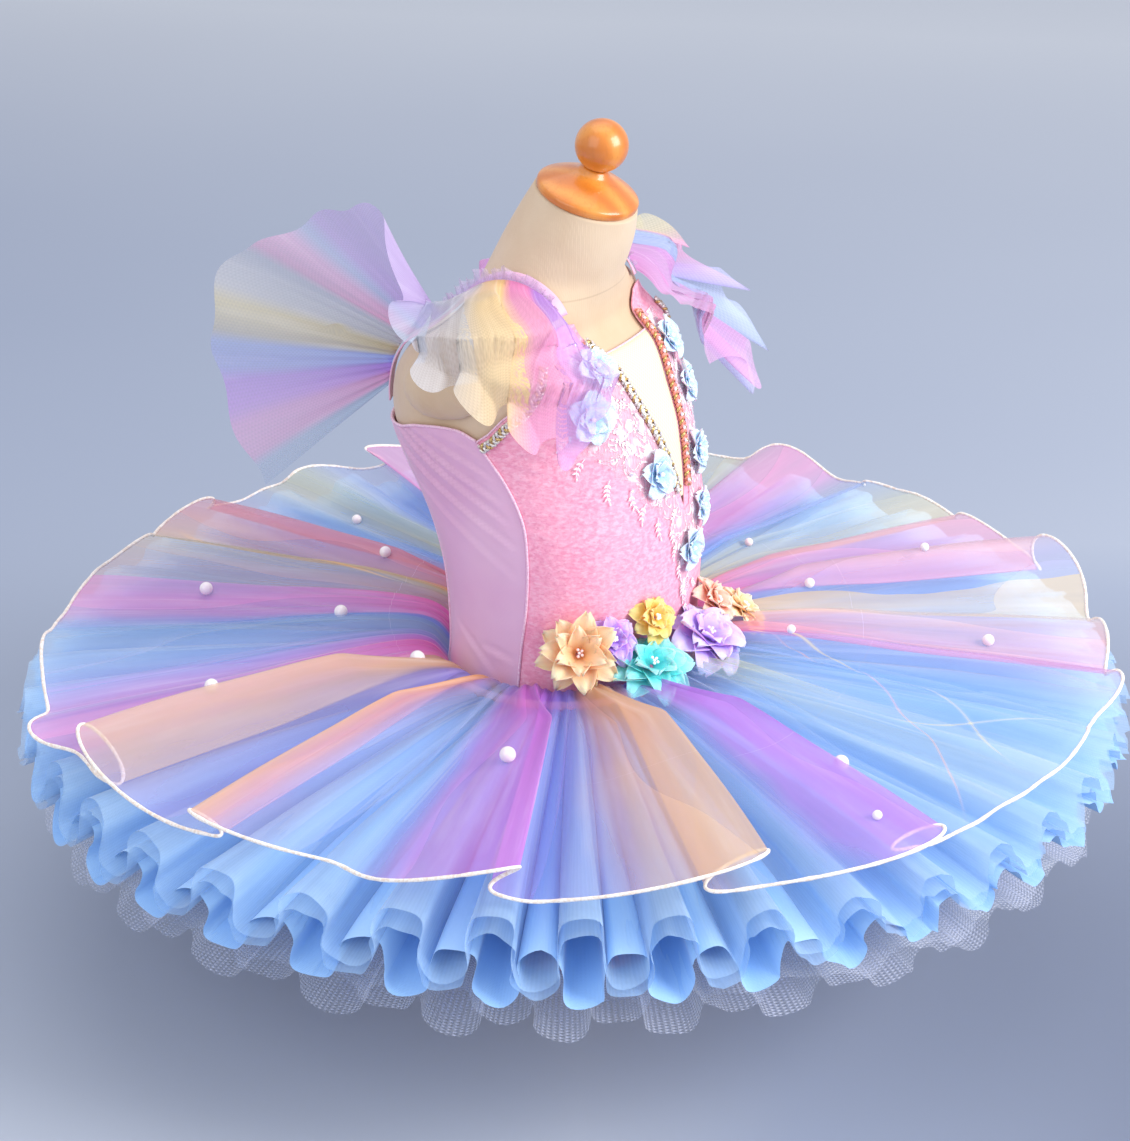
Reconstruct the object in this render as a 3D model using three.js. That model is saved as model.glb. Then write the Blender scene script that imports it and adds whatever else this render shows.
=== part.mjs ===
// A child's tutu dress on a limbless dress form, in millimetres, +Z up.
// The origin is the centre of the wooden base's underside; -Y is the front of
// the dress and +X is the wearer's left. Every cloth piece is a closed wall.
import * as THREE from 'three';

// ---------------------------------------------------------------- sizes
const WAIST = 205;              // height of the waist seam above the floor
const SKIRT_CENTRE_Y = 2;       // the waist's centre, a little behind the origin
const OVERLAY_REACH = 357;      // radius of the organza overlay at its hem
const TULLE_REACH = 372;        // radius of the blue tulle layer
const NET_REACH = 362;          // radius of the stiff bottom net
const TULLE_WAVES = 40;
const NET_WAVES = 30;
const RUFFLE_WAVES = 10;

const CLOTH = 1.3;              // wall of bodice, strap and ruffle cloth
const SKIRT_CLOTH = 1.2;        // wall of the skirt layers
const SKIN_GAP = 1.3;           // bodice cloth stands this far off the form
const SEAM_GAP = 0.35;          // between cloth pieces that are sewn together
const BASQUE_HEM = 150;         // height of the bodice's hidden lower edge
const OVERLAY_CLEAR = 4.0;      // the overlay's seam starts this far off the form
const TULLE_CLEAR = 3.3;        // and so do the gathered layers' seams

const BASE_RADIUS = 92;
const BASE_HEIGHT = 20;
const NECK_CAP_RADIUS = 33.8;
const NECK_CAP_HEIGHT = 21;
const BALL_RADIUS = 17.2;

const DEG = Math.PI / 180;

// Horizontal sections of the form, from the base up: height, the section's
// centre behind the origin, half width, half depth, squareness of the
// superellipse, and how fast the section rises towards the back.
const FORM_SECTIONS = [
  // height, centre, halfWidth, halfDepth, power, tilt
  [20.3,   8.0, 100,  86.0, 2.2, 0],
  [80,     8.0, 106,  90.0, 2.2, 0],
  [150,    6.0,  98,  84.0, 2.2, 0],
  [205,    2.0,  90,  75.0, 2.2, 0],
  [237,    1.0,  89,  75.5, 2.2, 0],
  [274,    2.0,  91,  78.0, 2.2, 0],
  [310,    7.0,  95,  83.0, 2.2, 0],
  [365,   25.0, 101,  90.0, 2.2, 0],
  [395,   31.0, 104,  84.0, 2.3, 0],
  [419,   31.0, 104,  72.0, 2.3, 0],
  [436,   28.0,  98,  51.0, 2.2, 0],
  [450,   22.0,  82,  44.0, 2.2, 0],
  [461,   19.0,  64,  43.0, 2.1, 0.02],
  [473,   15.0,  50,  42.0, 2.0, 0.08],
  [488,    8.0,  43,  40.0, 2.0, 0.18],
  [505,    0.0,  38,  37.0, 2.0, 0.26],
  [521,   -6.5,  33,  33.0, 2.0, 0.316],
];

// ---------------------------------------------------------------- curves
// A smooth curve through the rows of a table whose first column is the key.
function readTable(rows, key) {
  const last = rows.length - 1;
  const at = THREE.MathUtils.clamp(key, rows[0][0], rows[last][0]);
  let i = 0;
  while (i < last - 1 && at > rows[i + 1][0]) i += 1;
  const slope = (k, col) => {
    const lo = Math.max(k - 1, 0);
    const hi = Math.min(k + 1, last);
    return (rows[hi][col] - rows[lo][col]) / (rows[hi][0] - rows[lo][0]);
  };
  const h = rows[i + 1][0] - rows[i][0];
  const t = (at - rows[i][0]) / h;
  return rows[i].map((value, col) => (
    (2 * t ** 3 - 3 * t * t + 1) * value
    + (t ** 3 - 2 * t * t + t) * h * slope(i, col)
    + (-2 * t ** 3 + 3 * t * t) * rows[i + 1][col]
    + (t ** 3 - t * t) * h * slope(i + 1, col)
  ));
}

const signedPower = (value, power) => Math.sign(value) * Math.abs(value) ** power;

// A point of the form: turn is the angle from the centre front, in degrees,
// growing towards the wearer's left.
function formPoint(turn, height) {
  const [, centre, halfWidth, halfDepth, power, tilt] = readTable(FORM_SECTIONS, height);
  const angle = (turn - 90) * DEG;
  const x = halfWidth * signedPower(Math.cos(angle), 2 / power);
  const y = halfDepth * signedPower(Math.sin(angle), 2 / power);
  return new THREE.Vector3(x, centre + y, height + tilt * y);
}

// The same point moved straight off the form's surface.
function skin(turn, height, off) {
  const across = formPoint(turn + 1, height).sub(formPoint(turn - 1, height));
  const up = formPoint(turn, height + 1).sub(formPoint(turn, height - 1));
  const out = across.cross(up).normalize();
  return formPoint(turn, height).addScaledVector(out, off);
}

// How far out a point lies, as a share of the section at its height.
function formShare(p) {
  const [, sectionCentre, , , , tilt] = readTable(FORM_SECTIONS, p.z);
  const level = p.z - tilt * (p.y - sectionCentre);
  const [, centre, halfWidth, halfDepth, power] = readTable(FORM_SECTIONS, level);
  return (Math.abs(p.x / halfWidth) ** power
    + Math.abs((p.y - centre) / halfDepth) ** power) ** (1 / power);
}

function formOutward(p) {
  const step = 1;
  const slope = (axis) => {
    const ahead = p.clone();
    const behind = p.clone();
    ahead[axis] += step;
    behind[axis] -= step;
    return (formShare(ahead) - formShare(behind)) / (2 * step);
  };
  return new THREE.Vector3(slope('x'), slope('y'), slope('z'));
}

// Distance from the form to a point near it.
function formDistance(p) {
  return (formShare(p) - 1) / formOutward(p).length();
}

function clearOfForm(p, distance) {
  const moved = p.clone();
  for (let pass = 0; pass < 8; pass += 1) {
    const short = distance - formDistance(moved);
    if (short > 0) moved.addScaledVector(formOutward(moved).normalize(), short);
  }
  return moved;
}

// Radius of the form's outline at a height, in one direction from the waist's
// centre.
function waistRadius(angle, height) {
  const direction = new THREE.Vector3(Math.cos(angle), Math.sin(angle), 0);
  const start = new THREE.Vector3(0, SKIRT_CENTRE_Y, height);
  let low = 0;
  let high = 200;
  for (let pass = 0; pass < 24; pass += 1) {
    const middle = (low + high) / 2;
    const inside = formShare(start.clone().addScaledVector(direction, middle)) < 1;
    if (inside) low = middle;
    else high = middle;
  }
  return low;
}

// ---------------------------------------------------------------- meshes
const group = new THREE.Group();

function addMesh(name, vertices, triangles, material) {
  let volume = 0;
  for (const [a, b, c] of triangles) {
    volume += vertices[a].dot(vertices[b].clone().cross(vertices[c]));
  }
  const faces = volume > 0 ? triangles : triangles.map(([a, b, c]) => [a, c, b]);
  const geometry = new THREE.BufferGeometry();
  const positions = vertices.flatMap((v) => [v.x, v.y, v.z]);
  geometry.setAttribute('position', new THREE.Float32BufferAttribute(positions, 3));
  geometry.setIndex(faces.flat());
  geometry.computeVertexNormals();
  const mesh = new THREE.Mesh(geometry, material);
  mesh.name = name;
  group.add(mesh);
  return mesh;
}

// A closed wall between two grids of points, outer[i][j] and inner[i][j];
// wrapped grids join their last column to their first.
function addWall(name, outer, inner, wrapped, material) {
  const columns = outer.length;
  const rows = outer[0].length;
  const vertices = [...outer.flat(), ...inner.flat()];
  const top = (i, j) => (i % columns) * rows + j;
  const under = (i, j) => columns * rows + top(i, j);
  const triangles = [];
  // Each quad is cut along its shorter diagonal, which lies closer to the cloth.
  const quad = (a, b, c, d) => {
    const first = vertices[a].distanceTo(vertices[c]);
    const second = vertices[b].distanceTo(vertices[d]);
    if (first <= second) triangles.push([a, b, c], [a, c, d]);
    else triangles.push([a, b, d], [b, c, d]);
  };
  const spans = wrapped ? columns : columns - 1;
  for (let i = 0; i < spans; i += 1) {
    for (let j = 0; j < rows - 1; j += 1) {
      quad(top(i, j), top(i + 1, j), top(i + 1, j + 1), top(i, j + 1));
      quad(under(i, j + 1), under(i + 1, j + 1), under(i + 1, j), under(i, j));
    }
    quad(top(i + 1, 0), top(i, 0), under(i, 0), under(i + 1, 0));
    quad(top(i, rows - 1), top(i + 1, rows - 1), under(i + 1, rows - 1), under(i, rows - 1));
  }
  if (!wrapped) {
    const end = columns - 1;
    for (let j = 0; j < rows - 1; j += 1) {
      quad(top(0, j), top(0, j + 1), under(0, j + 1), under(0, j));
      quad(top(end, j + 1), top(end, j), under(end, j), under(end, j + 1));
    }
  }
  return addMesh(name, vertices, triangles, material);
}

// Gives a sheet of points its thickness, to the side its normals point away
// from.
function thicken(sheet, thickness, wrapped) {
  const columns = sheet.length;
  const rows = sheet[0].length;
  const column = (i) => {
    if (wrapped) return sheet[(i + columns) % columns];
    return sheet[THREE.MathUtils.clamp(i, 0, columns - 1)];
  };
  return sheet.map((points, i) => points.map((point, j) => {
    const across = column(i + 1)[j].clone().sub(column(i - 1)[j]);
    const along = points[Math.min(j + 1, rows - 1)].clone().sub(points[Math.max(j - 1, 0)]);
    const normal = across.cross(along).normalize();
    return point.clone().addScaledVector(normal, -thickness);
  }));
}

// Stacked rings of points, closed by a fan at each end.
function addRings(name, rings, material) {
  const count = rings[0].length;
  const vertices = rings.flat();
  const middle = (ring) => ring.reduce((sum, p) => sum.add(p), new THREE.Vector3())
    .divideScalar(count);
  const low = vertices.push(middle(rings[0])) - 1;
  const high = vertices.push(middle(rings[rings.length - 1])) - 1;
  const triangles = [];
  for (let r = 0; r < rings.length - 1; r += 1) {
    for (let i = 0; i < count; i += 1) {
      const a = r * count + i;
      const b = r * count + (i + 1) % count;
      triangles.push([a, b, b + count], [a, b + count, a + count]);
    }
  }
  const top = (rings.length - 1) * count;
  for (let i = 0; i < count; i += 1) {
    const next = (i + 1) % count;
    triangles.push([low, next, i], [high, top + i, top + next]);
  }
  return addMesh(name, vertices, triangles, material);
}

const cloth = (color, roughness = 0.8) => (
  new THREE.MeshStandardMaterial({ color, roughness, metalness: 0 })
);
const MATERIALS = {
  linen: cloth(0xe9d3b8, 0.9),
  wood: cloth(0xc9772a, 0.3),
  pinkVelvet: cloth(0xf49bbd, 0.7),
  lilacLycra: cloth(0xe3a9cf, 0.5),
  creamMesh: cloth(0xf0ddb4, 0.9),
  silverBraid: cloth(0xcfc6b6, 0.3),
  coralBraid: cloth(0xe98a80, 0.4),
  organza: cloth(0xeaa9c8, 0.5),
  blueTulle: cloth(0x9cc8f4, 0.9),
  paleNet: cloth(0xccc8ea, 0.9),
  rainbowTulle: cloth(0xdcb6e4, 0.9),
  paleBlueFlower: cloth(0xa9d2ef, 0.7),
};

// ---------------------------------------------------------------- the form
const FORM_SIDES = 36;

function formRing(height) {
  const turns = Array.from({ length: FORM_SIDES }, (_, i) => (i * 360) / FORM_SIDES);
  return turns.map((turn) => formPoint(turn, height));
}

function buildTorso() {
  const heights = [20.3, 80, 150, 178, 205, 230, 254, 278, 298, 318, 338, 358, 377, 394,
    406, 414, 421, 428, 435, 443, 451, 461, 472, 488, 505, 521];
  addRings('form_torso', heights.map(formRing), MATERIALS.linen);
}

function buildBase() {
  // Turned disc with a rounded upper edge: radius, height.
  const profile = [[0, 0], [BASE_RADIUS - 2, 0], [BASE_RADIUS, 2], [BASE_RADIUS, BASE_HEIGHT - 5],
    [BASE_RADIUS - 5, BASE_HEIGHT], [0, BASE_HEIGHT]];
  addLathe('form_base', profile, 40, new THREE.Matrix4(), MATERIALS.wood);
}

// A turned piece whose profile starts and ends on its axis.
function addLathe(name, profile, sides, placement, material) {
  const inner = profile.slice(1, -1);
  const rings = inner.map(([radius, height]) => (
    Array.from({ length: sides }, (_, i) => {
      const angle = (i / sides) * 2 * Math.PI;
      return new THREE.Vector3(radius * Math.cos(angle), radius * Math.sin(angle), height)
        .applyMatrix4(placement);
    })
  ));
  return addRings(name, rings, material);
}

// The neck's flat top leans forward; its cap and ball stand square to it.
const NECK_TOP = FORM_SECTIONS[FORM_SECTIONS.length - 1];
const NECK_LEAN = Math.atan(NECK_TOP[5]);

function onNeck(lift) {
  const axis = new THREE.Vector3(0, -Math.sin(NECK_LEAN), Math.cos(NECK_LEAN));
  const seat = new THREE.Vector3(0, NECK_TOP[1], NECK_TOP[0]).addScaledVector(axis, lift);
  return new THREE.Matrix4().makeRotationX(NECK_LEAN).setPosition(seat);
}

function buildNeckCap() {
  const profile = [[0, 0], [NECK_CAP_RADIUS - 1, 0], [NECK_CAP_RADIUS, 1.5],
    [NECK_CAP_RADIUS, 5], [NECK_CAP_RADIUS - 2.5, 7], [20, 13], [11, 17], [9.5, 19],
    [8, NECK_CAP_HEIGHT], [0, NECK_CAP_HEIGHT]];
  addLathe('form_neck_cap', profile, 28, onNeck(SEAM_GAP), MATERIALS.wood);
}

function buildBall() {
  const steps = 9;
  const profile = [];
  for (let i = 0; i <= steps; i += 1) {
    const angle = -Math.PI / 2 + (i / steps) * Math.PI;
    profile.push([BALL_RADIUS * Math.cos(angle), BALL_RADIUS * Math.sin(angle)]);
  }
  // The ball's foot is flattened where it is glued to the cap.
  const foot = -BALL_RADIUS * Math.cos(Math.asin(8 / BALL_RADIUS));
  profile[0] = [0, foot];
  profile.splice(1, 1, [7.8, foot], [11, -13.2]);
  profile[profile.length - 1] = [0, BALL_RADIUS];
  profile.splice(profile.length - 1, 0, [1.5, BALL_RADIUS - 0.1]);
  const lift = SEAM_GAP + NECK_CAP_HEIGHT + SEAM_GAP - foot;
  addLathe('form_neck_ball', profile, 20, onNeck(lift), MATERIALS.wood);
}

// The closed armholes of the form: rounded plates on its two sides.
const ARM_PLATE = { turn: 98, height: 419.5, halfTurn: 21, halfHeight: 24.5, bulge: 9 };

function buildArmPlate(name, side) {
  const rounds = 16;
  const rings = [0.96, 0.8, 0.5, 0.2];
  const place = (share, angle, off) => skin(
    side * (ARM_PLATE.turn + share * ARM_PLATE.halfTurn * Math.cos(angle)),
    ARM_PLATE.height + share * ARM_PLATE.halfHeight * Math.sin(angle),
    off,
  );
  const angles = Array.from({ length: rounds }, (_, i) => (i / rounds) * 2 * Math.PI);
  const outside = rings.map((share) => angles.map((angle) => (
    place(share, angle, 1.5 + ARM_PLATE.bulge * Math.sqrt(1 - share * share))
  )));
  const inside = [0.3, 0.7, 1].map((share) => angles.map((angle) => place(share, angle, 0.7)));
  addRings(name, [...inside, ...outside], MATERIALS.linen);
}

// ---------------------------------------------------------------- bodice
// The curved seam between front and side panel: height, turn from the front.
const SIDE_SEAM = [
  // height, turn
  [BASQUE_HEM, 86],
  [205, 85],
  [237, 84],
  [275, 80],
  [304, 77],
  [332, 74],
  [359, 76],
  [384, 82.4],
];
const BACK_SEAM_TURN = 145;

const sideSeam = (height) => readTable(SIDE_SEAM, height)[1];

// Top edge of the front panel from the side seam over the armhole and strap:
// height, turn; both halves are alike down to the strap's inner corner.
const ARMHOLE_EDGE = [
  // height, turn
  [384, 82.4],
  [390, 77],
  [400, 70],
  [408, 61.4],
  [420, 53],
  [432, 46],
  [442, 41.5],
  [449, 39.3],
];
const STRAP_TOP = { height: 450, outerTurn: 38.5, innerTurn: 26.8 };

// The V neck: height, the middle of the V and its half width, both in
// millimetres across the front.
const NECK_V = [
  // height, middle, halfWidth
  [318, 5, 0],
  [333, 5, 4.5],
  [346, 5, 7.8],
  [359, 5, 11.2],
  [383, 4, 18],
  [408, 2, 24.5],
  [432, 1, 32],
  [449, 0, 40],
];

// Heights at which the V's edge has a point, closer over the collar bones.
const NECK_EDGE_HEIGHTS = [449, 444, 440, 436, 430, 423, 416, 408, 396, 383, 359, 333];

// Turn of the point of the form's front that lies at x.
function frontTurn(x, height) {
  const [, , halfWidth, , power] = readTable(FORM_SECTIONS, height);
  const sine = signedPower(x / halfWidth, power / 2);
  return Math.asin(THREE.MathUtils.clamp(sine, -1, 1)) / DEG;
}

// Columns of the front panel from the wearer's right side seam to the left:
// the share of the way to the side seam, and the height the column reaches.
function frontColumns() {
  const half = (side) => {
    const armhole = ARMHOLE_EDGE.map(([height, turn]) => [turn, height]);
    const strap = [[(STRAP_TOP.outerTurn + STRAP_TOP.innerTurn) / 2, STRAP_TOP.height]];
    const neck = NECK_EDGE_HEIGHTS.map((height) => {
      const [, middle, halfWidth] = readTable(NECK_V, height);
      return [side * frontTurn(middle + side * halfWidth, height), height];
    });
    return [...armhole, ...strap, ...neck]
      .map(([turn, height]) => [side * (turn / sideSeam(height)), height]);
  };
  const bottom = NECK_V[0];
  const centre = [frontTurn(bottom[1], bottom[0]) / sideSeam(bottom[0]), bottom[0]];
  return [...half(-1), centre, ...half(1).reverse()];
}

const BODICE_INNER = SKIN_GAP;
const BODICE_OUTER = SKIN_GAP + CLOTH;
const shares = (count) => Array.from({ length: count + 1 }, (_, i) => i / count);

// Rows of the bodice panels, closer together over the chest than at the waist.
const PANEL_ROWS = [0, 0.18, 0.34, 0.48, 0.6, 0.7, 0.78, 0.84, 0.88, 0.92, 0.96, 1];

function buildFront() {
  const rows = PANEL_ROWS;
  const sheet = (off) => frontColumns().map(([share, top]) => rows.map((row) => {
    const height = BASQUE_HEM + (top - BASQUE_HEM) * row;
    return skin(share * sideSeam(height), height, off);
  }));
  addWall('bodice_front', sheet(BODICE_OUTER), sheet(BODICE_INNER), false,
    MATERIALS.pinkVelvet);
}

// Degrees of turn that give one seam gap at the side of the bodice.
const GAP_TURN = 0.3;

// Top edge of side and back panels: turn, height.
const BACK_EDGE = [
  // turn, height
  [82, 384],
  [90, 390],
  [108, 386],
  [122, 379],
  [BACK_SEAM_TURN, 373],
  [180, 370],
];

function buildSide(name, side) {
  const across = shares(6);
  const rows = PANEL_ROWS;
  const sheet = (off) => across.map((share) => rows.map((row) => {
    const topTurn = sideSeam(384) + GAP_TURN
      + share * (BACK_SEAM_TURN - GAP_TURN - sideSeam(384) - GAP_TURN);
    const top = readTable(BACK_EDGE, topTurn)[1];
    const height = BASQUE_HEM + (top - BASQUE_HEM) * row;
    const start = sideSeam(height) + GAP_TURN;
    const turn = start + share * (BACK_SEAM_TURN - GAP_TURN - start);
    return skin(side * turn, height, off);
  }));
  addWall(name, sheet(BODICE_OUTER), sheet(BODICE_INNER), false, MATERIALS.lilacLycra);
}

function buildBack() {
  const across = shares(7);
  const rows = PANEL_ROWS;
  const sheet = (off) => across.map((share) => rows.map((row) => {
    const turn = BACK_SEAM_TURN + 2 * (180 - BACK_SEAM_TURN) * share;
    const top = readTable(BACK_EDGE, turn > 180 ? 360 - turn : turn)[1];
    return skin(turn, BASQUE_HEM + (top - BASQUE_HEM) * row, off);
  }));
  addWall('bodice_back', sheet(BODICE_OUTER), sheet(BODICE_INNER), false,
    MATERIALS.lilacLycra);
}

// The net set into the V, with a straight top edge.
function buildInsert() {
  const levels = [326, 343, 362, 381, 396, 408, 417, 425];
  const across = shares(4);
  const sheet = (off) => across.map((share) => levels.map((height) => {
    const [, middle, halfWidth] = readTable(NECK_V, height);
    const x = middle + (halfWidth - 0.9) * (2 * share - 1);
    return skin(frontTurn(x, height), height, off);
  }));
  addWall('neck_insert', sheet(BODICE_OUTER - 0.2), sheet(BODICE_INNER), false,
    MATERIALS.creamMesh);
}

// A flat band sewn on the bodice along a path of [turn, height] points.
function addBand(name, path, width, off, thickness, material) {
  const middle = path.map(([turn, height]) => skin(turn, height, off));
  const sections = path.map(([turn, height], i) => {
    const ahead = middle[Math.min(i + 1, middle.length - 1)].clone();
    const along = ahead.sub(middle[Math.max(i - 1, 0)]).normalize();
    const out = skin(turn, height, off + 5).sub(middle[i]).normalize();
    const side = along.clone().cross(out).normalize().multiplyScalar(width / 2);
    const low = middle[i];
    const high = middle[i].clone().addScaledVector(out, thickness);
    return [low.clone().add(side), high.clone().add(side), high.clone().sub(side),
      low.clone().sub(side)];
  });
  return addRings(name, sections, material);
}

const BRAID_WIDTH = 7;
const BRAID_OFF = BODICE_OUTER + SEAM_GAP + 1.0;
const BRAID_THICK = 1.6;

function buildNeckBraid(name, side, material) {
  const rows = NECK_EDGE_HEIGHTS.slice(3).map((height) => {
    const [, middle, halfWidth] = readTable(NECK_V, height);
    const x = middle + side * (halfWidth + BRAID_WIDTH / 2 - 0.8);
    return [frontTurn(x, height), height - 1];
  });
  addBand(name, rows, BRAID_WIDTH, BRAID_OFF, BRAID_THICK, material);
}

function buildArmholeBraid(name, side) {
  const inset = 4;
  const rows = ARMHOLE_EDGE.slice(0, -2).map(([height, turn]) => (
    [side * (turn - 1.2), height - inset]
  ));
  addBand(name, rows, BRAID_WIDTH, BRAID_OFF, BRAID_THICK, MATERIALS.silverBraid);
}

// ---------------------------------------------------------------- straps
const STRAP_X = 50;
const STRAP_CENTRE = { y: 25, z: 395 };
const STRAP_WIDTH = 13;
const STRAP_OFF = SKIN_GAP + 1.1;

// A point above the form on the strap's line over the shoulder, at an angle
// from the front, over the top, to the back.
function shoulder(side, angle, off) {
  const start = new THREE.Vector3(side * STRAP_X, STRAP_CENTRE.y, STRAP_CENTRE.z);
  const direction = new THREE.Vector3(0, -Math.cos(angle * DEG), Math.sin(angle * DEG));
  let low = 0;
  let high = 140;
  for (let pass = 0; pass < 24; pass += 1) {
    const middle = (low + high) / 2;
    const inside = formShare(start.clone().addScaledVector(direction, middle)) < 1;
    if (inside) low = middle;
    else high = middle;
  }
  const onForm = start.addScaledVector(direction, low);
  const out = formOutward(onForm).normalize();
  return onForm.addScaledVector(out, off);
}

const STRAP_START = 57.5;
const STRAP_END = 190.5;

function buildStrap(name, side) {
  const steps = 16;
  const sections = shares(steps).map((share) => {
    const angle = STRAP_START + (STRAP_END - STRAP_START) * share;
    const low = shoulder(side, angle, STRAP_OFF);
    const high = shoulder(side, angle, STRAP_OFF + CLOTH);
    const out = high.clone().sub(low).normalize();
    const along = shoulder(side, angle + 2, 1).sub(shoulder(side, angle - 2, 1)).normalize();
    const across = along.cross(out).normalize().multiplyScalar(STRAP_WIDTH / 2);
    return [low.clone().add(across), high.clone().add(across), high.clone().sub(across),
      low.clone().sub(across)];
  });
  addRings(name, sections, MATERIALS.lilacLycra);
}

// ---------------------------------------------------------------- ruffles
// Where the hem of each gathered shoulder ruffle lies: the share of the seam
// from front to back, and the hem's place. The wearer's right ruffle stands up
// behind the shoulder; the left one lies lower.
const RUFFLE_HEMS = {
  ruffle_right: [
    // share, x, y, z
    [0.00, -58, -44, 407],
    [0.12, -88, -42, 380],
    [0.24, -113, -22, 405],
    [0.33, -128, 0, 424],
    [0.42, -140, 25, 436],
    [0.50, -137, 48, 458],
    [0.58, -112, 70, 490],
    [0.66, -84, 106, 522],
    [0.75, -86, 160, 498],
    [0.83, -104, 205, 470],
    [0.90, -110, 211, 412],
    [0.95, -108, 200, 366],
    [1.00, -102, 180, 322],
  ],
  ruffle_left: [
    // share, x, y, z
    [0.00, 60, -50, 400],
    [0.12, 104, -80, 384],
    [0.22, 120, -62, 382],
    [0.32, 132, -57, 408],
    [0.40, 132, -46, 432],
    [0.48, 120, -22, 452],
    [0.56, 115, 0, 472],
    [0.66, 118, 38, 448],
    [0.78, 124, 74, 418],
    [0.90, 112, 104, 386],
    [1.00, 96, 122, 346],
  ],
};
const RUFFLE_CLEAR = 7;
const RUFFLE_SEAM_OFF = STRAP_OFF + 2 * CLOTH - 0.25;
const RUFFLE_END = 184;

function rufflePoint(name, side, share, reach) {
  const angle = STRAP_START + 1 + (RUFFLE_END - STRAP_START) * share;
  const seam = shoulder(side, angle, RUFFLE_SEAM_OFF);
  if (reach === 0) return seam;
  const [, x, y, z] = readTable(RUFFLE_HEMS[name], share);
  const fan = new THREE.Vector3(x, y, z).sub(seam);
  const ahead = shoulder(side, angle + 2, 1).sub(shoulder(side, angle - 2, 1));
  const out = ahead.cross(fan).normalize();
  const wave = (1.2 + 9 * reach) * Math.sin(2 * Math.PI * RUFFLE_WAVES * share);
  const point = seam.clone().addScaledVector(fan, reach).addScaledVector(out, wave);
  const clear = RUFFLE_SEAM_OFF + (RUFFLE_CLEAR + ARM_PLATE.bulge) * Math.min(1, 3 * reach);
  return clearOfForm(point, clear);
}

function buildRuffle(name, side) {
  const across = shares(RUFFLE_WAVES * 4);
  const down = [0, 0.22, 0.6, 1];
  const sheet = across.map((share) => (
    down.map((reach) => rufflePoint(name, side, share, reach))
  ));
  addWall(name, sheet, thicken(sheet, side * CLOTH, false), false, MATERIALS.rainbowTulle);
}

// ---------------------------------------------------------------- skirt
// Each layer stands off the waist on its own curve: distance beyond the
// bodice, and height above the waist seam.
const OVERLAY_RISE = [
  // out, rise
  [0, 0],
  [10, 12],
  [25, 17],
  [60, 17.5],
  [110, 14],
  [150, 10],
  [230, 5],
  [285, 1],
];
const TULLE_RISE = [
  [0, -7],
  [15, -4],
  [60, -4],
  [150, -10],
  [230, -18],
  [290, -27],
];
const NET_RISE = [
  [0, -25],
  [60, -30],
  [150, -43],
  [230, -57],
  [285, -70],
];

// Folds of the organza overlay: angle about the waist, half width in degrees,
// height at the hem, how far its crest leans sideways, and its extra reach.
const OVERLAY_FOLDS = [
  // angle, halfWidth, height, lean, reach
  [-159, 10, 22, 30, 6],
  [-138, 9, 22, 30, 2],
  [-117, 9, 19, -24, 8],
  [-98, 9, 10, 0, 4],
  [-80, 9, 13, 6, -2],
  [-63, 8, 17, 10, 2],
  [-49, 7, 10, 0, 6],
  [-36, 8, 22, 20, 12],
  [-21, 7, 12, 0, -4],
  [-8, 7, 10, -4, 2],
  [4, 7, 20, 12, 22],
  [18, 8, 13, 0, 16],
  [34, 8, 12, 4, 4],
  [50, 9, 20, -16, 8],
  [66, 8, 12, 0, 2],
  [82, 9, 18, 18, 4],
  [98, 8, 12, 0, -4],
  [113, 8, 14, 0, 0],
  [129, 8, 12, 0, 2],
  [146, 10, 24, 32, 12],
  [160, 7, 10, 0, 4],
  [171, 9, 20, -28, 10],
  [-173, 8, 10, 0, -10],
];

function wrapDegrees(angle) {
  return ((angle % 360) + 540) % 360 - 180;
}

// A point of a skirt layer: angle about the waist, its height and radius, and
// a shift along the hem.
function skirtPoint(angle, radius, height, shift = 0) {
  const turned = angle + shift / Math.max(radius, 1);
  return new THREE.Vector3(radius * Math.cos(turned),
    SKIRT_CENTRE_Y + radius * Math.sin(turned), WAIST + height);
}

function overlayPoint(angle, reach) {
  const inner = waistRadius(angle, WAIST - 2) + OVERLAY_CLEAR;
  let edge = OVERLAY_REACH;
  let height = 0;
  let shift = 0;
  for (const [centre, halfWidth, rise, lean, extra] of OVERLAY_FOLDS) {
    const place = wrapDegrees(angle / DEG - centre) / halfWidth;
    if (Math.abs(place) < 1) {
      const bump = (1 + Math.cos(Math.PI * place)) / 2;
      height += rise * bump * reach ** 0.8;
      shift += lean * bump * reach ** 3;
      edge += extra * bump;
    }
  }
  const radius = inner + (edge - inner) * reach;
  const rise = readTable(OVERLAY_RISE, 285 * reach)[1];
  return skirtPoint(angle, radius, rise + height * (1 - 0.35 * reach), shift);
}

function buildOverlay() {
  const around = Array.from({ length: 96 }, (_, i) => (i / 96) * 2 * Math.PI);
  const out = [0, 0.04, 0.1, 0.3, 0.6, 0.85, 1];
  const sheet = around.map((angle) => out.map((reach) => overlayPoint(angle, reach)));
  addWall('skirt_overlay', sheet, thicken(sheet, -SKIRT_CLOTH, true), true,
    MATERIALS.organza);
}

// The waves of a gathered layer drift a little, so that no two are alike.
const waveDrift = (angle) => 0.6 * Math.sin(3 * angle + 1) + 0.4 * Math.sin(7 * angle);
const waveDepth = (angle) => 1 + 0.2 * Math.sin(5 * angle + 2);

// The angle at which a layer's wave has reached a phase.
function wavePhase(waves, phase) {
  let angle = phase / waves;
  for (let pass = 0; pass < 8; pass += 1) angle = (phase - waveDrift(angle)) / waves;
  return angle;
}

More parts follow.
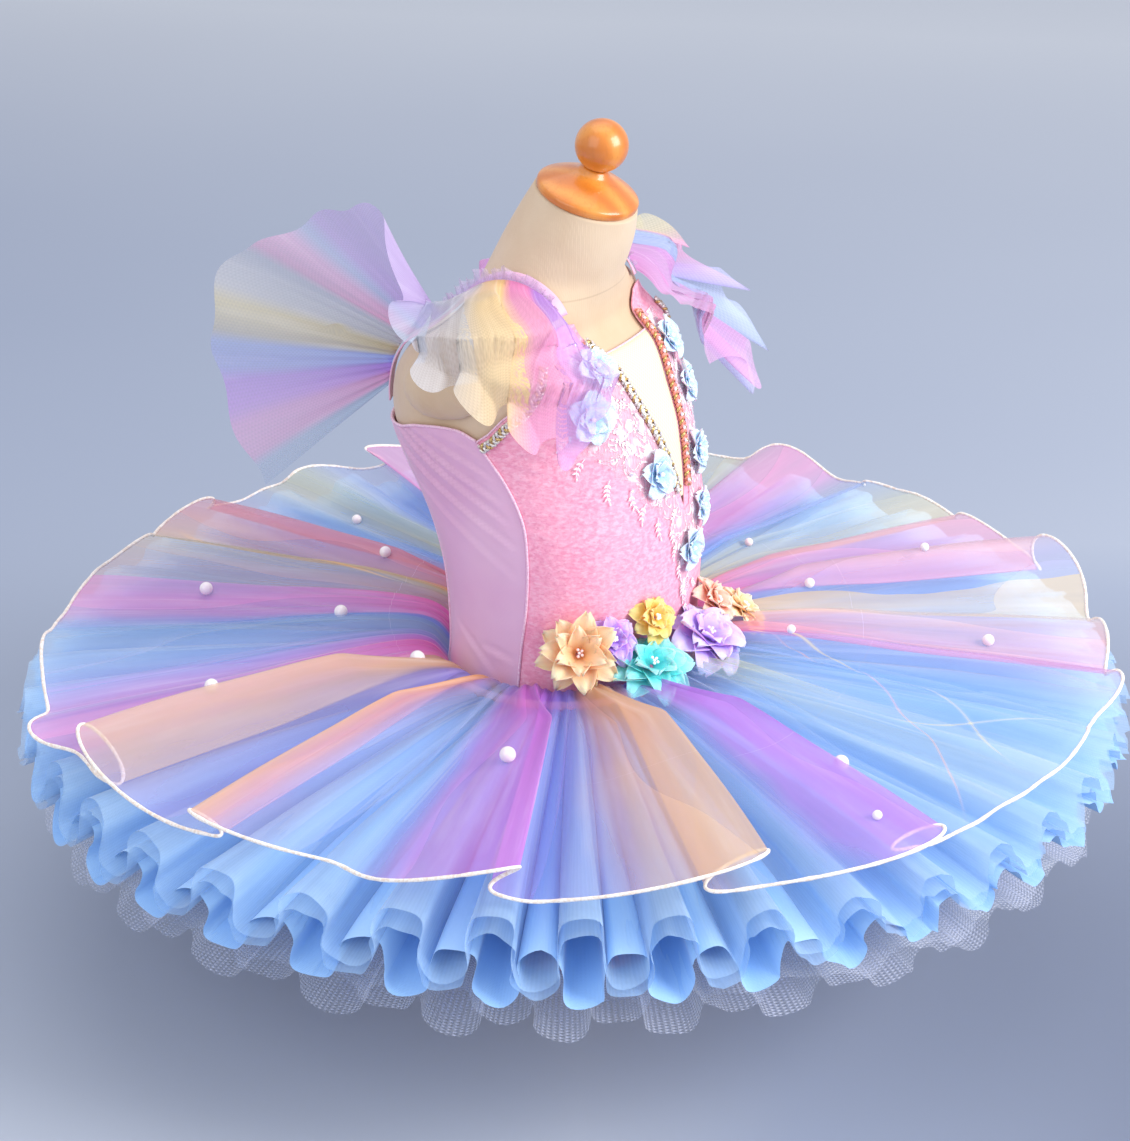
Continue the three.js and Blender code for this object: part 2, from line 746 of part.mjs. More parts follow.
function buildGatheredLayer(name, layer, material) {
  const quarters = layer.waves * 4;
  const sheet = Array.from({ length: quarters }, (_, i) => {
    const phase = (i * Math.PI) / 2;
    const angle = wavePhase(layer.waves, phase);
    const inner = waistRadius(angle, WAIST + layer.rise[0][1] - 4) + TULLE_CLEAR;
    return layer.out.map((reach) => {
      const depth = (1.6 + layer.depth * reach ** 1.1) * waveDepth(angle);
      const edge = layer.reach - layer.swing * Math.sin(phase) * reach;
      const base = readTable(layer.rise, layer.rise[layer.rise.length - 1][0] * reach)[1];
      const radius = inner + (edge - inner) * reach;
      return skirtPoint(angle, radius, base + depth * Math.sin(phase));
    });
  });
  addWall(name, sheet, thicken(sheet, -SKIRT_CLOTH, true), true, material);
}

const TULLE = {
  waves: TULLE_WAVES, reach: TULLE_REACH, depth: 17, swing: 4, rise: TULLE_RISE,
  out: [0, 0.12, 0.5, 1],
};
const NET = {
  waves: NET_WAVES, reach: NET_REACH, depth: 4.5, swing: 3, rise: NET_RISE,
  out: [0, 0.5, 1],
};

// ---------------------------------------------------------------- flowers
const KNOT_RADIUS = 2.2;

// A cupped cloth flower sewn on the bodice by the knot at its back: its place
// on the form, how far it stands off, and how much it faces upwards.
function addFlower(name, place, radius, petals, material) {
  const { turn, height, off, lift } = place;
  const centre = skin(turn, height, off);
  const knot = skin(turn, height, BODICE_OUTER + SEAM_GAP + 0.25);
  const inward = centre.clone().sub(knot).normalize();
  const facing = inward.clone();
  facing.z += lift;
  const zAxis = new THREE.Vector3(0, 0, 1);
  const flat = new THREE.Quaternion().setFromUnitVectors(zAxis, facing.normalize());
  const sewn = new THREE.Quaternion().setFromUnitVectors(zAxis, inward);
  const count = petals * 2;
  const ring = (share, rise) => Array.from({ length: count }, (_, i) => {
    const angle = (i / count) * 2 * Math.PI;
    const lobe = share > 0.6 && i % 2 === 0 ? 0.72 : 1;
    const r = radius * share * lobe;
    return new THREE.Vector3(r * Math.cos(angle), r * Math.sin(angle), rise)
      .applyQuaternion(flat).add(centre);
  });
  const knotRing = Array.from({ length: count }, (_, i) => {
    const angle = (i / count) * 2 * Math.PI;
    return new THREE.Vector3(KNOT_RADIUS * Math.cos(angle), KNOT_RADIUS * Math.sin(angle), 0)
      .applyQuaternion(sewn).add(knot);
  });
  const thick = radius * 0.1;
  addRings(name, [knotRing, ring(0.35, 0), ring(0.95, radius * 0.12),
    ring(1, radius * 0.12 + thick), ring(0.4, thick * 1.2)], material);
}

// Flowers of the belt: turn from the front, height, distance off the form,
// how much they face upwards, radius, petals and colour.
const BELT_FLOWERS = [
  // name, turn, height, off, lift, radius, petals, colour
  ['belt_flower_peach', -58, 249, 21, 0.75, 20, 5, 0xf6bd8e],
  ['belt_flower_purple_small', -43, 254, 16, 0.75, 12, 5, 0xa87ad8],
  ['belt_flower_turquoise', -30, 239, 28, 1.2, 20, 6, 0x3fc3c8],
  ['belt_flower_yellow', -22, 260, 14, 0.6, 12, 5, 0xf2b552],
  ['belt_flower_lilac', 0, 240, 28, 1.2, 20, 6, 0xb78be6],
  ['belt_flower_coral', 18, 255, 20, 0.75, 14, 5, 0xf39a84],
  ['belt_flower_apricot', 32, 241, 36, 1.2, 18, 5, 0xf7b98a],
];

function buildBeltFlowers() {
  for (const [name, turn, height, off, lift, radius, petals, colour] of BELT_FLOWERS) {
    addFlower(name, { turn, height, off, lift }, radius, petals, cloth(colour, 0.6));
  }
}

// Small flowers sewn along the V neck: x, height and radius.
const NECK_FLOWERS = [
  // x, height, radius
  [-44, 421, 11],
  [-62, 395, 13],
  [-22, 349, 12],
  [7, 290, 11],
  [46, 415, 11],
  [50, 385, 11],
  [36, 345, 12],
  [27, 312, 10],
];

function buildNeckFlowers() {
  NECK_FLOWERS.forEach(([x, height, radius], i) => {
    const off = BRAID_OFF + BRAID_THICK + 0.6;
    const place = { turn: frontTurn(x, height), height, off, lift: 0 };
    addFlower(`neck_flower_${i + 1}`, place, radius, 5, MATERIALS.paleBlueFlower);
  });
}

// ---------------------------------------------------------------- assembly
buildBase();
buildTorso();
buildNeckCap();
buildBall();
buildArmPlate('form_arm_plate_right', -1);
buildArmPlate('form_arm_plate_left', 1);
buildFront();
buildSide('bodice_side_right', -1);
buildSide('bodice_side_left', 1);
buildBack();
buildInsert();
buildNeckBraid('neck_braid_right', -1, MATERIALS.silverBraid);
buildNeckBraid('neck_braid_left', 1, MATERIALS.coralBraid);
buildArmholeBraid('armhole_braid_right', -1);
buildArmholeBraid('armhole_braid_left', 1);
buildStrap('strap_right', -1);
buildStrap('strap_left', 1);
buildRuffle('ruffle_right', -1);
buildRuffle('ruffle_left', 1);
buildOverlay();
buildGatheredLayer('skirt_tulle', TULLE, MATERIALS.blueTulle);
buildGatheredLayer('skirt_net', NET, MATERIALS.paleNet);
buildBeltFlowers();
buildNeckFlowers();

export default group;
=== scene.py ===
"""A child's tutu dress on a limbless dress form: every surface's cloth and finish.

Sizes in the tables are millimetres, +Z up and -Y the front of the dress; the
meshes are made in metres. Angles round the waist are degrees from +X.
"""
import math

import bpy
import numpy as np
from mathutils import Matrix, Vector


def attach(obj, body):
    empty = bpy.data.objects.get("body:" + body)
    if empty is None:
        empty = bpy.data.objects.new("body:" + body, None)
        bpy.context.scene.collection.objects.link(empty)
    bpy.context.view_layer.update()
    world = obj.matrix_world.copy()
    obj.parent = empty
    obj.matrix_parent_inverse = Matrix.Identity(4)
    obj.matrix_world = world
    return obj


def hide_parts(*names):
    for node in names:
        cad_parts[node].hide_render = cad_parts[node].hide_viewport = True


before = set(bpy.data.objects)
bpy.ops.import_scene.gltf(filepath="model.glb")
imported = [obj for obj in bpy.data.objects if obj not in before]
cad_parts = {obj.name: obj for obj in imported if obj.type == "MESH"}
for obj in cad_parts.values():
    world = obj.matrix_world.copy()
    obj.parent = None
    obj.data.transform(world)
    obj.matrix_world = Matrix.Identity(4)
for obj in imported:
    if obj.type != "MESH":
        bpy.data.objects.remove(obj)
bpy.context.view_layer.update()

MM = 0.001

# ------------------------------------------------------------------ sizes
WAIST = 205
SKIRT_CENTRE_Y = 2
OVERLAY_REACH = 357
TULLE_REACH = 372
NET_REACH = 362
BASQUE_HEM = 150
CLOTH = 1.3
SKIN_GAP = 1.3
BODICE_OUTER = SKIN_GAP + CLOTH
BACK_SEAM_TURN = 145
SEAM_TURN = 0.3
BRAID_OFF = BODICE_OUTER + 1.9
BRAID_PITCH = 8.5
BRAID_STRANDS = 3
BRAID_LIFT = 0.8
BRAID_THREAD = 1.05
BRAID_SEQUIN_RADIUS = 1.5
# The wearer's right is at -X.
SIDES = ((-1, "right"), (1, "left"))

# The dress form, from its base up.
FORM_SECTIONS = [
    # height, centre, half width, half depth, squareness, tilt
    [20.3, 8.0, 100, 86.0, 2.2, 0],
    [80, 8.0, 106, 90.0, 2.2, 0],
    [150, 6.0, 98, 84.0, 2.2, 0],
    [205, 2.0, 90, 75.0, 2.2, 0],
    [237, 1.0, 89, 75.5, 2.2, 0],
    [274, 2.0, 91, 78.0, 2.2, 0],
    [310, 7.0, 95, 83.0, 2.2, 0],
    [365, 25.0, 101, 90.0, 2.2, 0],
    [395, 31.0, 104, 84.0, 2.3, 0],
    [419, 31.0, 104, 72.0, 2.3, 0],
    [436, 28.0, 98, 51.0, 2.2, 0],
    [450, 22.0, 82, 44.0, 2.2, 0],
    [461, 19.0, 64, 43.0, 2.1, 0.02],
    [473, 15.0, 50, 42.0, 2.0, 0.08],
    [488, 8.0, 43, 40.0, 2.0, 0.18],
    [505, 0.0, 38, 37.0, 2.0, 0.26],
    [521, -6.5, 33, 33.0, 2.0, 0.316],
]
# The curved seam between front and side panel.
SIDE_SEAM = [
    # height, turn
    [150, 86], [205, 85], [237, 84], [275, 80], [304, 77], [332, 74], [359, 76], [384, 82.4],
]
ARMHOLE_EDGE = [
    # height, turn
    [384, 82.4], [390, 77], [400, 70], [408, 61.4], [420, 53], [432, 46], [442, 41.5], [449, 39.3],
]
STRAP_TOP = {"height": 450, "turn": 32.65}
NECK_V = [
    # height, middle, half width
    [318, 5, 0],
    [333, 5, 4.5],
    [346, 5, 7.8],
    [359, 5, 11.2],
    [383, 4, 18],
    [408, 2, 24.5],
    [432, 1, 32],
    [449, 0, 40],
]
NECK_EDGE_HEIGHTS = [449, 444, 440, 436, 430, 423, 416, 408, 396, 383, 359, 333]
# Top edge of side and back panels.
BACK_EDGE = [
    # turn, height
    [82, 384], [90, 390], [108, 386], [122, 379], [145, 373], [180, 370],
]
ARM_PLATE = {"turn": 98, "height": 419.5, "half_turn": 21, "half_height": 24.5, "bulge": 9}

# Soft drag lines in the stretched bodice cloth, on the wearer's right; the
# left side has the same ones a little lower.
BODICE_CREASES = [
    # start turn, start height, end turn, end height, depth, width
    [-132, 385, -80, 330, 2.6, 3.0],
    [-138, 374, -80, 312, 2.2, 3.4],
    [-124, 386, -80, 344, 2.6, 2.6],
    [-112, 387, -80, 360, 2.2, 2.4],
    [-96, 388, -81, 373, 1.2, 2.2],
    [-136, 352, -82, 290, 1.0, 4.4],
    [-104, 236, -86, 229, 1.0, 3.4],
    [-126, 246, -92, 214, 1.0, 4.0],
    [-72, 376, -34, 352, 1.3, 3.4],
    [-71, 366, -42, 345, 1.1, 3.0],
    [-60, 384, -30, 368, 0.9, 3.0],
    [-76, 330, -52, 318, 0.8, 3.4],
    [-66, 238, -36, 226, 1.0, 4.0],
    [-20, 244, 22, 238, 0.7, 3.6],
]


# ------------------------------------------------------------------ curves
def read_table(rows, key):
    """The columns of a smooth curve through a table's rows, keyed by its first column."""
    rows = np.asarray(rows, float)
    last = len(rows) - 1
    key = np.clip(key, rows[0, 0], rows[last, 0])
    i = np.clip(np.searchsorted(rows[:, 0], key) - 1, 0, last - 1)
    upper = np.minimum(np.arange(last + 1) + 1, last)
    lower = np.maximum(np.arange(last + 1) - 1, 0)
    slopes = (rows[upper] - rows[lower]) / (rows[upper, :1] - rows[lower, :1])
    span = (rows[i + 1, 0] - rows[i, 0])[..., None]
    t = (key - rows[i, 0])[..., None] / span
    value = (
        (2 * t**3 - 3 * t**2 + 1) * rows[i]
        + (t**3 - 2 * t**2 + t) * span * slopes[i]
        + (3 * t**2 - 2 * t**3) * rows[i + 1]
        + (t**3 - t**2) * span * slopes[i + 1]
    )
    return np.moveaxis(value, -1, 0)


def unit(vectors):
    return vectors / np.maximum(np.linalg.norm(vectors, axis=-1, keepdims=True), 1e-9)


def signed_power(value, power):
    return np.sign(value) * np.abs(value) ** power


def bell(distance):
    """A soft hump one unit high, from -1 to 1."""
    return np.where(np.abs(distance) < 1, (1 + np.cos(np.pi * distance)) / 2, 0)


# ------------------------------------------------------------------ the form's surface
def form_point(turn, height):
    """The form's surface: turn is degrees from the centre front towards the wearer's left."""
    turn, height = np.broadcast_arrays(np.asarray(turn, float), np.asarray(height, float))
    _, centre, half_width, half_depth, power, tilt = read_table(FORM_SECTIONS, height)
    angle = np.radians(turn - 90)
    x = half_width * signed_power(np.cos(angle), 2 / power)
    y = half_depth * signed_power(np.sin(angle), 2 / power)
    return np.stack([x, centre + y, height + tilt * y], axis=-1)


def skin_normal(turn, height):
    turn, height = np.broadcast_arrays(np.asarray(turn, float), np.asarray(height, float))
    across = form_point(turn + 1, height) - form_point(turn - 1, height)
    up = form_point(turn, height + 1) - form_point(turn, height - 1)
    return unit(np.cross(across, up))


def skin(turn, height, off):
    """A point straight off the form's surface."""
    return form_point(turn, height) + skin_normal(turn, height) * np.asarray(off, float)[..., None]


def front_turn(x, height):
    """Turn of the point of the form's front that lies at x."""
    _, _, half_width, _, power, _ = read_table(FORM_SECTIONS, height)
    return np.degrees(np.arcsin(np.clip(signed_power(x / half_width, power / 2), -1, 1)))


def front_skin(x, height, off):
    """A point off the form's front at x."""
    return skin(front_turn(x, height), height, off)


def form_share(points):
    """How far out points lie, as a share of the form's section at their height."""
    _, centre, half_width, half_depth, power, tilt = read_table(FORM_SECTIONS, points[..., 2])
    level = points[..., 2] - tilt * (points[..., 1] - centre)
    _, centre, half_width, half_depth, power, tilt = read_table(FORM_SECTIONS, level)
    x = np.abs(points[..., 0] / half_width) ** power
    y = np.abs((points[..., 1] - centre) / half_depth) ** power
    return (x + y) ** (1 / power)


def form_outward(points):
    slopes = [(form_share(points + step) - form_share(points - step)) / 2 for step in np.eye(3)]
    return np.stack(slopes, axis=-1)


def clear_of_form(points, distance):
    moved = points.copy()
    for _ in range(8):
        outward = form_outward(moved)
        length = np.linalg.norm(outward, axis=-1)
        short = np.maximum(distance - (form_share(moved) - 1) / length, 0)
        moved += outward / length[..., None] * short[..., None]
    return moved


def ray_to_form(start, direction, longest=200):
    """Distance along each ray at which it leaves the form."""
    low = np.zeros(direction.shape[:-1])
    high = np.full(direction.shape[:-1], float(longest))
    for _ in range(24):
        middle = (low + high) / 2
        inside = form_share(start + direction * middle[..., None]) < 1
        low = np.where(inside, middle, low)
        high = np.where(inside, high, middle)
    return low


def waist_radius(angle, height):
    direction = np.stack([np.cos(angle), np.sin(angle), np.zeros_like(angle)], axis=-1)
    start = np.broadcast_to([0.0, SKIRT_CENTRE_Y, height], direction.shape)
    return ray_to_form(start, direction)


# ------------------------------------------------------------------ meshes
def grid_faces(columns, rows, wrapped):
    """Quads of a grid of points held column by column, and their corners' shares."""
    spans = columns if wrapped else columns - 1
    i, j = (a.ravel() for a in np.meshgrid(np.arange(spans), np.arange(rows - 1), indexing="ij"))
    here, there = i * rows + j, (i + 1) % columns * rows + j
    faces = np.stack([here, there, there + 1, here + 1], axis=1)
    u = np.stack([i, i + 1, i + 1, i], axis=1) / spans
    v = np.stack([j, j, j + 1, j + 1], axis=1) / (rows - 1)
    return faces, np.stack([u, v], axis=-1)


def linked(name, data):
    """A new object in the scene for a mesh, a camera or a light."""
    made = bpy.data.objects.new(name, data)
    bpy.context.scene.collection.objects.link(made)
    return made


def hold(mesh, key, values):
    """Keeps a number or a vector for every point of a mesh."""
    values = np.asarray(values, dtype=np.float32)
    vector = values.ndim == 2
    held = mesh.attributes.new(key, "FLOAT_VECTOR" if vector else "FLOAT", "POINT")
    held.data.foreach_set("vector" if vector else "value", values.ravel())


def new_piece(name, points, faces, uv=None, smooth=True, **attributes):
    """A mesh object in metres, with a UV map and point attributes."""
    mesh = bpy.data.meshes.new(name)
    mesh.from_pydata((np.asarray(points).reshape(-1, 3) * MM).tolist(), [], [list(f) for f in faces])
    if uv is not None:
        layer = mesh.uv_layers.new(name="cloth")
        layer.data.foreach_set("uv", np.asarray(uv, dtype=np.float32).ravel())
    for key, values in attributes.items():
        hold(mesh, key, np.ravel(values))
    mesh.polygons.foreach_set("use_smooth", [smooth] * len(mesh.polygons))
    mesh.update()
    return linked(name, mesh)


def sheet_piece(name, grid, wrapped=False, flip=False, **attributes):
    """A cloth surface through a grid of points, columns first."""
    columns, rows = grid.shape[:2]
    faces, uv = grid_faces(columns, rows, wrapped)
    if flip:
        faces, uv = faces[:, ::-1], uv[:, ::-1]
    return new_piece(name, grid, faces.tolist(), uv, **attributes)


def plain_mesh(piece):
    """Turns what a piece's modifiers make of it into its own mesh."""
    bpy.context.view_layer.update()
    shaped = piece.evaluated_get(bpy.context.evaluated_depsgraph_get())
    mesh = bpy.data.meshes.new_from_object(shaped)
    piece.modifiers.clear()
    piece.data = mesh
    mesh.name = piece.name
    return piece


def thicken(piece, thickness):
    """Gives a surface its wall, on the side away from its normals."""
    wall = piece.modifiers.new("wall", "SOLIDIFY")
    wall.thickness = thickness * MM
    wall.offset = -1
    return plain_mesh(piece)


def capped_piece(name, grid, inside_out=False):
    """A closed solid through rings of points, columns first, with a fan at each end."""
    columns, rows = grid.shape[:2]
    faces = grid_faces(columns, rows, True)[0].tolist()
    low, high = columns * rows, columns * rows + 1
    for here in range(columns):
        there = (here + 1) % columns
        faces.append([low, there * rows, here * rows])
        faces.append([high, here * rows + rows - 1, there * rows + rows - 1])
    if inside_out:
        faces = [face[::-1] for face in faces]
    ends = [grid[:, 0].mean(axis=0), grid[:, -1].mean(axis=0)]
    return new_piece(name, np.concatenate([grid.reshape(-1, 3), ends]), faces)


def turned_piece(name, profile, place, sides=96):
    """A turned solid: profile rows are radius and height, place puts them in the frame."""
    profile = np.asarray(profile, float)
    angle = np.linspace(0, 2 * np.pi, sides, endpoint=False)
    rings = np.stack([
        np.outer(np.cos(angle), profile[:, 0]),
        np.outer(np.sin(angle), profile[:, 0]),
        np.broadcast_to(profile[:, 1], (sides, len(profile))),
    ], axis=-1)
    return capped_piece(name, place(rings))


def rounded(profile, radius=1.2, steps=4):
    """A profile with each inner corner turned into a small arc."""
    out = [np.asarray(profile[0], float)]
    for before, corner, after in zip(profile, profile[1:], profile[2:]):
        before, corner, after = (np.asarray(p, float) for p in (before, corner, after))
        reach = [min(radius, np.linalg.norm(p - corner) * 0.4) for p in (before, after)]
        start = corner + unit(before - corner) * reach[0]
        end = corner + unit(after - corner) * reach[1]
        for t in np.linspace(0, 1, steps):
            out.append((1 - t) ** 2 * start + 2 * t * (1 - t) * corner + t**2 * end)
    return out + [np.asarray(profile[-1], float)]


# ------------------------------------------------------------------ node trees
class Wire:
    """One output of a node. Arithmetic on wires adds Math nodes to their tree."""

    def __init__(self, tree, socket):
        self.tree, self.socket = tree, socket

    def out(self, name):
        return Wire(self.tree, self.socket.node.outputs[name])

    def maths(self, operation, *values):
        return self.tree.node("ShaderNodeMath", {"operation": operation}, dict(enumerate(values)))

    def __add__(self, other):
        return self.maths("ADD", self, other)

    def __radd__(self, other):
        return self.maths("ADD", other, self)

    def __sub__(self, other):
        return self.maths("SUBTRACT", self, other)

    def __rsub__(self, other):
        return self.maths("SUBTRACT", other, self)

    def __mul__(self, other):
        return self.maths("MULTIPLY", self, other)

    def __rmul__(self, other):
        return self.maths("MULTIPLY", other, self)

    def __truediv__(self, other):
        return self.maths("DIVIDE", self, other)

    def __rtruediv__(self, other):
        return self.maths("DIVIDE", other, self)

    def __pow__(self, other):
        return self.maths("POWER", self, other)

    def __rpow__(self, other):
        return self.maths("POWER", other, self)

    def sine(self):
        return self.maths("SINE", self)

    def cosine(self):
        return self.maths("COSINE", self)

    def fraction(self):
        return self.maths("FRACT", self)

    def size(self):
        return self.maths("ABSOLUTE", self)

    def above(self, limit):
        return self.maths("GREATER_THAN", self, limit)

    def held(self):
        """The value kept between 0 and 1."""
        return self.tree.node("ShaderNodeClamp", {}, {0: self})


class Tree:
    """Adds nodes to a shader or geometry tree."""

    def __init__(self, tree):
        self.tree = tree

    def node(self, kind, settings=None, inputs=None, out=0):
        made = self.tree.nodes.new(kind)
        for key, value in (settings or {}).items():
            if key == "stops":
                self.set_stops(made.color_ramp, value)
            else:
                setattr(made, key, value)
        for key, value in (inputs or {}).items():
            if isinstance(value, Wire):
                self.tree.links.new(value.socket, made.inputs[key])
            else:
                made.inputs[key].default_value = value
        return Wire(self, made.outputs[out]) if made.outputs else None

    @staticmethod
    def set_stops(ramp, stops):
        while len(ramp.elements) < len(stops):
            ramp.elements.new(1)
        for element, (place, shade) in zip(ramp.elements, stops):
            element.position, element.color = place, shade


def dye(code, opacity=1.0):
    """A colour code as linear red, green and blue, with an opacity."""
    parts = [int(code[i:i + 2], 16) / 255 for i in (1, 3, 5)]
    return (*[c / 12.92 if c <= 0.04045 else ((c + 0.055) / 1.055) ** 2.4 for c in parts], opacity)


class Finish(Tree):
    """A material and the nodes that colour it."""

    def __init__(self, name):
        self.material = bpy.data.materials.new(name)
        self.material.use_nodes = True
        super().__init__(self.material.node_tree)
        self.tree.nodes.clear()

    def place(self):
        """Where the surface is, in metres."""
        return self.node("ShaderNodeTexCoord", out="Object")

    def cloth_uv(self):
        return self.node("ShaderNodeUVMap", {"uv_map": "cloth"})

    def attribute(self, name):
        return self.node("ShaderNodeAttribute", {"attribute_name": name}, out="Fac")

    def scaled(self, vector, scale, turned=(0, 0, 0)):
        return self.node("ShaderNodeMapping", {}, {"Vector": vector, "Scale": scale, "Rotation": turned})

    def parts(self, vector):
        split = self.node("ShaderNodeSeparateXYZ", {}, {0: vector}, out="X")
        return split, split.out("Y"), split.out("Z")

    def noise(self, vector, scale, detail=3.0, distortion=0.0):
        inputs = {"Vector": vector, "Scale": scale, "Detail": detail, "Distortion": distortion}
        return self.node("ShaderNodeTexNoise", {}, inputs)

    def ramp(self, value, stops):
        return self.node("ShaderNodeValToRGB", {"stops": stops}, {0: value})

    def mix(self, share, first, second, how="MIX"):
        settings = {"data_type": "RGBA", "blend_type": how}
        return self.node("ShaderNodeMix", settings, {0: share, 6: first, 7: second}, out=2)

    def bump(self, height, depth, normal=None):
        """Relief of a height from 0 to 1, depth millimetres deep."""
        inputs = {"Height": height, "Distance": depth * MM, "Strength": 1.0}
        if normal:
            inputs["Normal"] = normal
        return self.node("ShaderNodeBump", {}, inputs)

    def net(self, vector, cell):
        """0 in the holes and 1 on the threads of a fine net with hexagonal cells."""
        x, y, _ = self.parts(vector)
        turn = 2 * math.pi / (cell * MM)
        first = (x * turn).sine()
        second = (x * (-0.5 * turn) + y * (0.866 * turn)).sine()
        third = (x * (-0.5 * turn) - y * (0.866 * turn)).sine()
        return ((first + second + third) * 0.2 + 0.5).held()

    def done(self, **inputs):
        """Ends the tree in one Principled surface; underscores stand for spaces."""
        inputs = {key.replace("_", " "): value for key, value in inputs.items()}
        surface = self.node("ShaderNodeBsdfPrincipled", {}, inputs)
        self.node("ShaderNodeOutputMaterial", {}, {"Surface": surface})
        return self.material


class Recipe(Tree):
    """A geometry tree with named inputs, which makes a plain mesh from a seed mesh."""

    KINDS = {
        "Geometry": "NodeSocketGeometry",
        "Material": "NodeSocketMaterial",
        "Motif": "NodeSocketObject",
        "Sides": "NodeSocketInt",
        "Rounds": "NodeSocketInt",
    }

    def __init__(self, name, *inputs):
        super().__init__(bpy.data.node_groups.new(name, "GeometryNodeTree"))
        for key in ("Geometry", *inputs, "Material"):
            kind = self.KINDS.get(key, "NodeSocketFloat")
            self.tree.interface.new_socket(key, in_out="INPUT", socket_type=kind)
        self.tree.interface.new_socket("Geometry", in_out="OUTPUT", socket_type="NodeSocketGeometry")
        self.given = self.node("NodeGroupInput")

    def input(self, name):
        return self.given.out(name)

    def named(self, name, kind="FLOAT"):
        return self.node("GeometryNodeInputNamedAttribute", {"data_type": kind}, {"Name": name})

    def end(self, geometry):
        smooth = self.node("GeometryNodeSetShadeSmooth", {}, {0: geometry})
        whole = self.node("GeometryNodeRealizeInstances", {}, {0: smooth})
        made = self.node("GeometryNodeSetMaterial", {}, {0: whole, "Material": self.input("Material")})
        self.node("NodeGroupOutput", {}, {0: made})
        return self

    def grow(self, piece, **sizes):
        """Runs the recipe on a piece and leaves it the plain mesh that comes out."""
        modifier = piece.modifiers.new("recipe", "NODES")
        modifier.node_group = self.tree
        for item in self.tree.interface.items_tree:
            if item.in_out == "INPUT" and item.name in sizes:
                modifier[item.identifier] = sizes[item.name]
        return plain_mesh(piece)


def cord_recipe():
    """A round cord along the seed's edges, a little uneven in its thickness."""
    recipe = Recipe("cord along a path", "Radius", "Sides", "Unevenness", "Lump")
    path = recipe.node("GeometryNodeMeshToCurve", {}, {0: recipe.input("Geometry")})
    place = recipe.node("GeometryNodeInputPosition")
    lumps = recipe.node("ShaderNodeTexNoise", {"noise_dimensions": "3D"},
                        {"Vector": place, "Scale": recipe.input("Lump"), "Detail": 2.0})
    swell = (lumps - 0.5) * recipe.input("Unevenness") + 1.0
    path = recipe.node("GeometryNodeSetCurveRadius", {}, {0: path, "Radius": swell})
    section = recipe.node("GeometryNodeCurvePrimitiveCircle", {},
                          {"Resolution": recipe.input("Sides"), "Radius": recipe.input("Radius")})
    inputs = {"Curve": path, "Profile Curve": section, "Fill Caps": True,
              "Scale": recipe.node("GeometryNodeInputRadius")}
    return recipe.end(recipe.node("GeometryNodeCurveToMesh", {}, inputs))


def bead_recipe():
    """A round bead at each of the seed's points, as large as its size attribute."""
    recipe = Recipe("beads on points", "Radius", "Rounds")
    bead = recipe.node("GeometryNodeMeshIcoSphere", {},
                       {"Radius": recipe.input("Radius"), "Subdivisions": recipe.input("Rounds")})
    inputs = {"Points": recipe.input("Geometry"), "Instance": bead, "Scale": recipe.named("size")}
    return recipe.end(recipe.node("GeometryNodeInstanceOnPoints", {}, inputs))


def motif_recipe():
    """A copy of a motif at each point, its Z along the out vector and its X along the aim."""
    recipe = Recipe("motifs on points", "Motif", "Size")
    motif = recipe.node("GeometryNodeObjectInfo", {}, {"Object": recipe.input("Motif")}, out="Geometry")
    upright = recipe.node("FunctionNodeAlignRotationToVector", {"axis": "Z"},
                          {"Vector": recipe.named("out", "FLOAT_VECTOR")})
    aimed = recipe.node("FunctionNodeAlignRotationToVector", {"axis": "X", "pivot_axis": "Z"},
                        {"Rotation": upright, "Vector": recipe.named("aim", "FLOAT_VECTOR")})
    inputs = {"Points": recipe.input("Geometry"), "Instance": motif, "Rotation": aimed,
              "Scale": recipe.named("size") * recipe.input("Size")}
    return recipe.end(recipe.node("GeometryNodeInstanceOnPoints", {}, inputs))


GATHER_SIZES = ("Waves", "Edge", "Depth", "Swing", "Drop", "Pleats", "Pleat depth", "Teeth", "Loop",
                "Stray", "Seed")


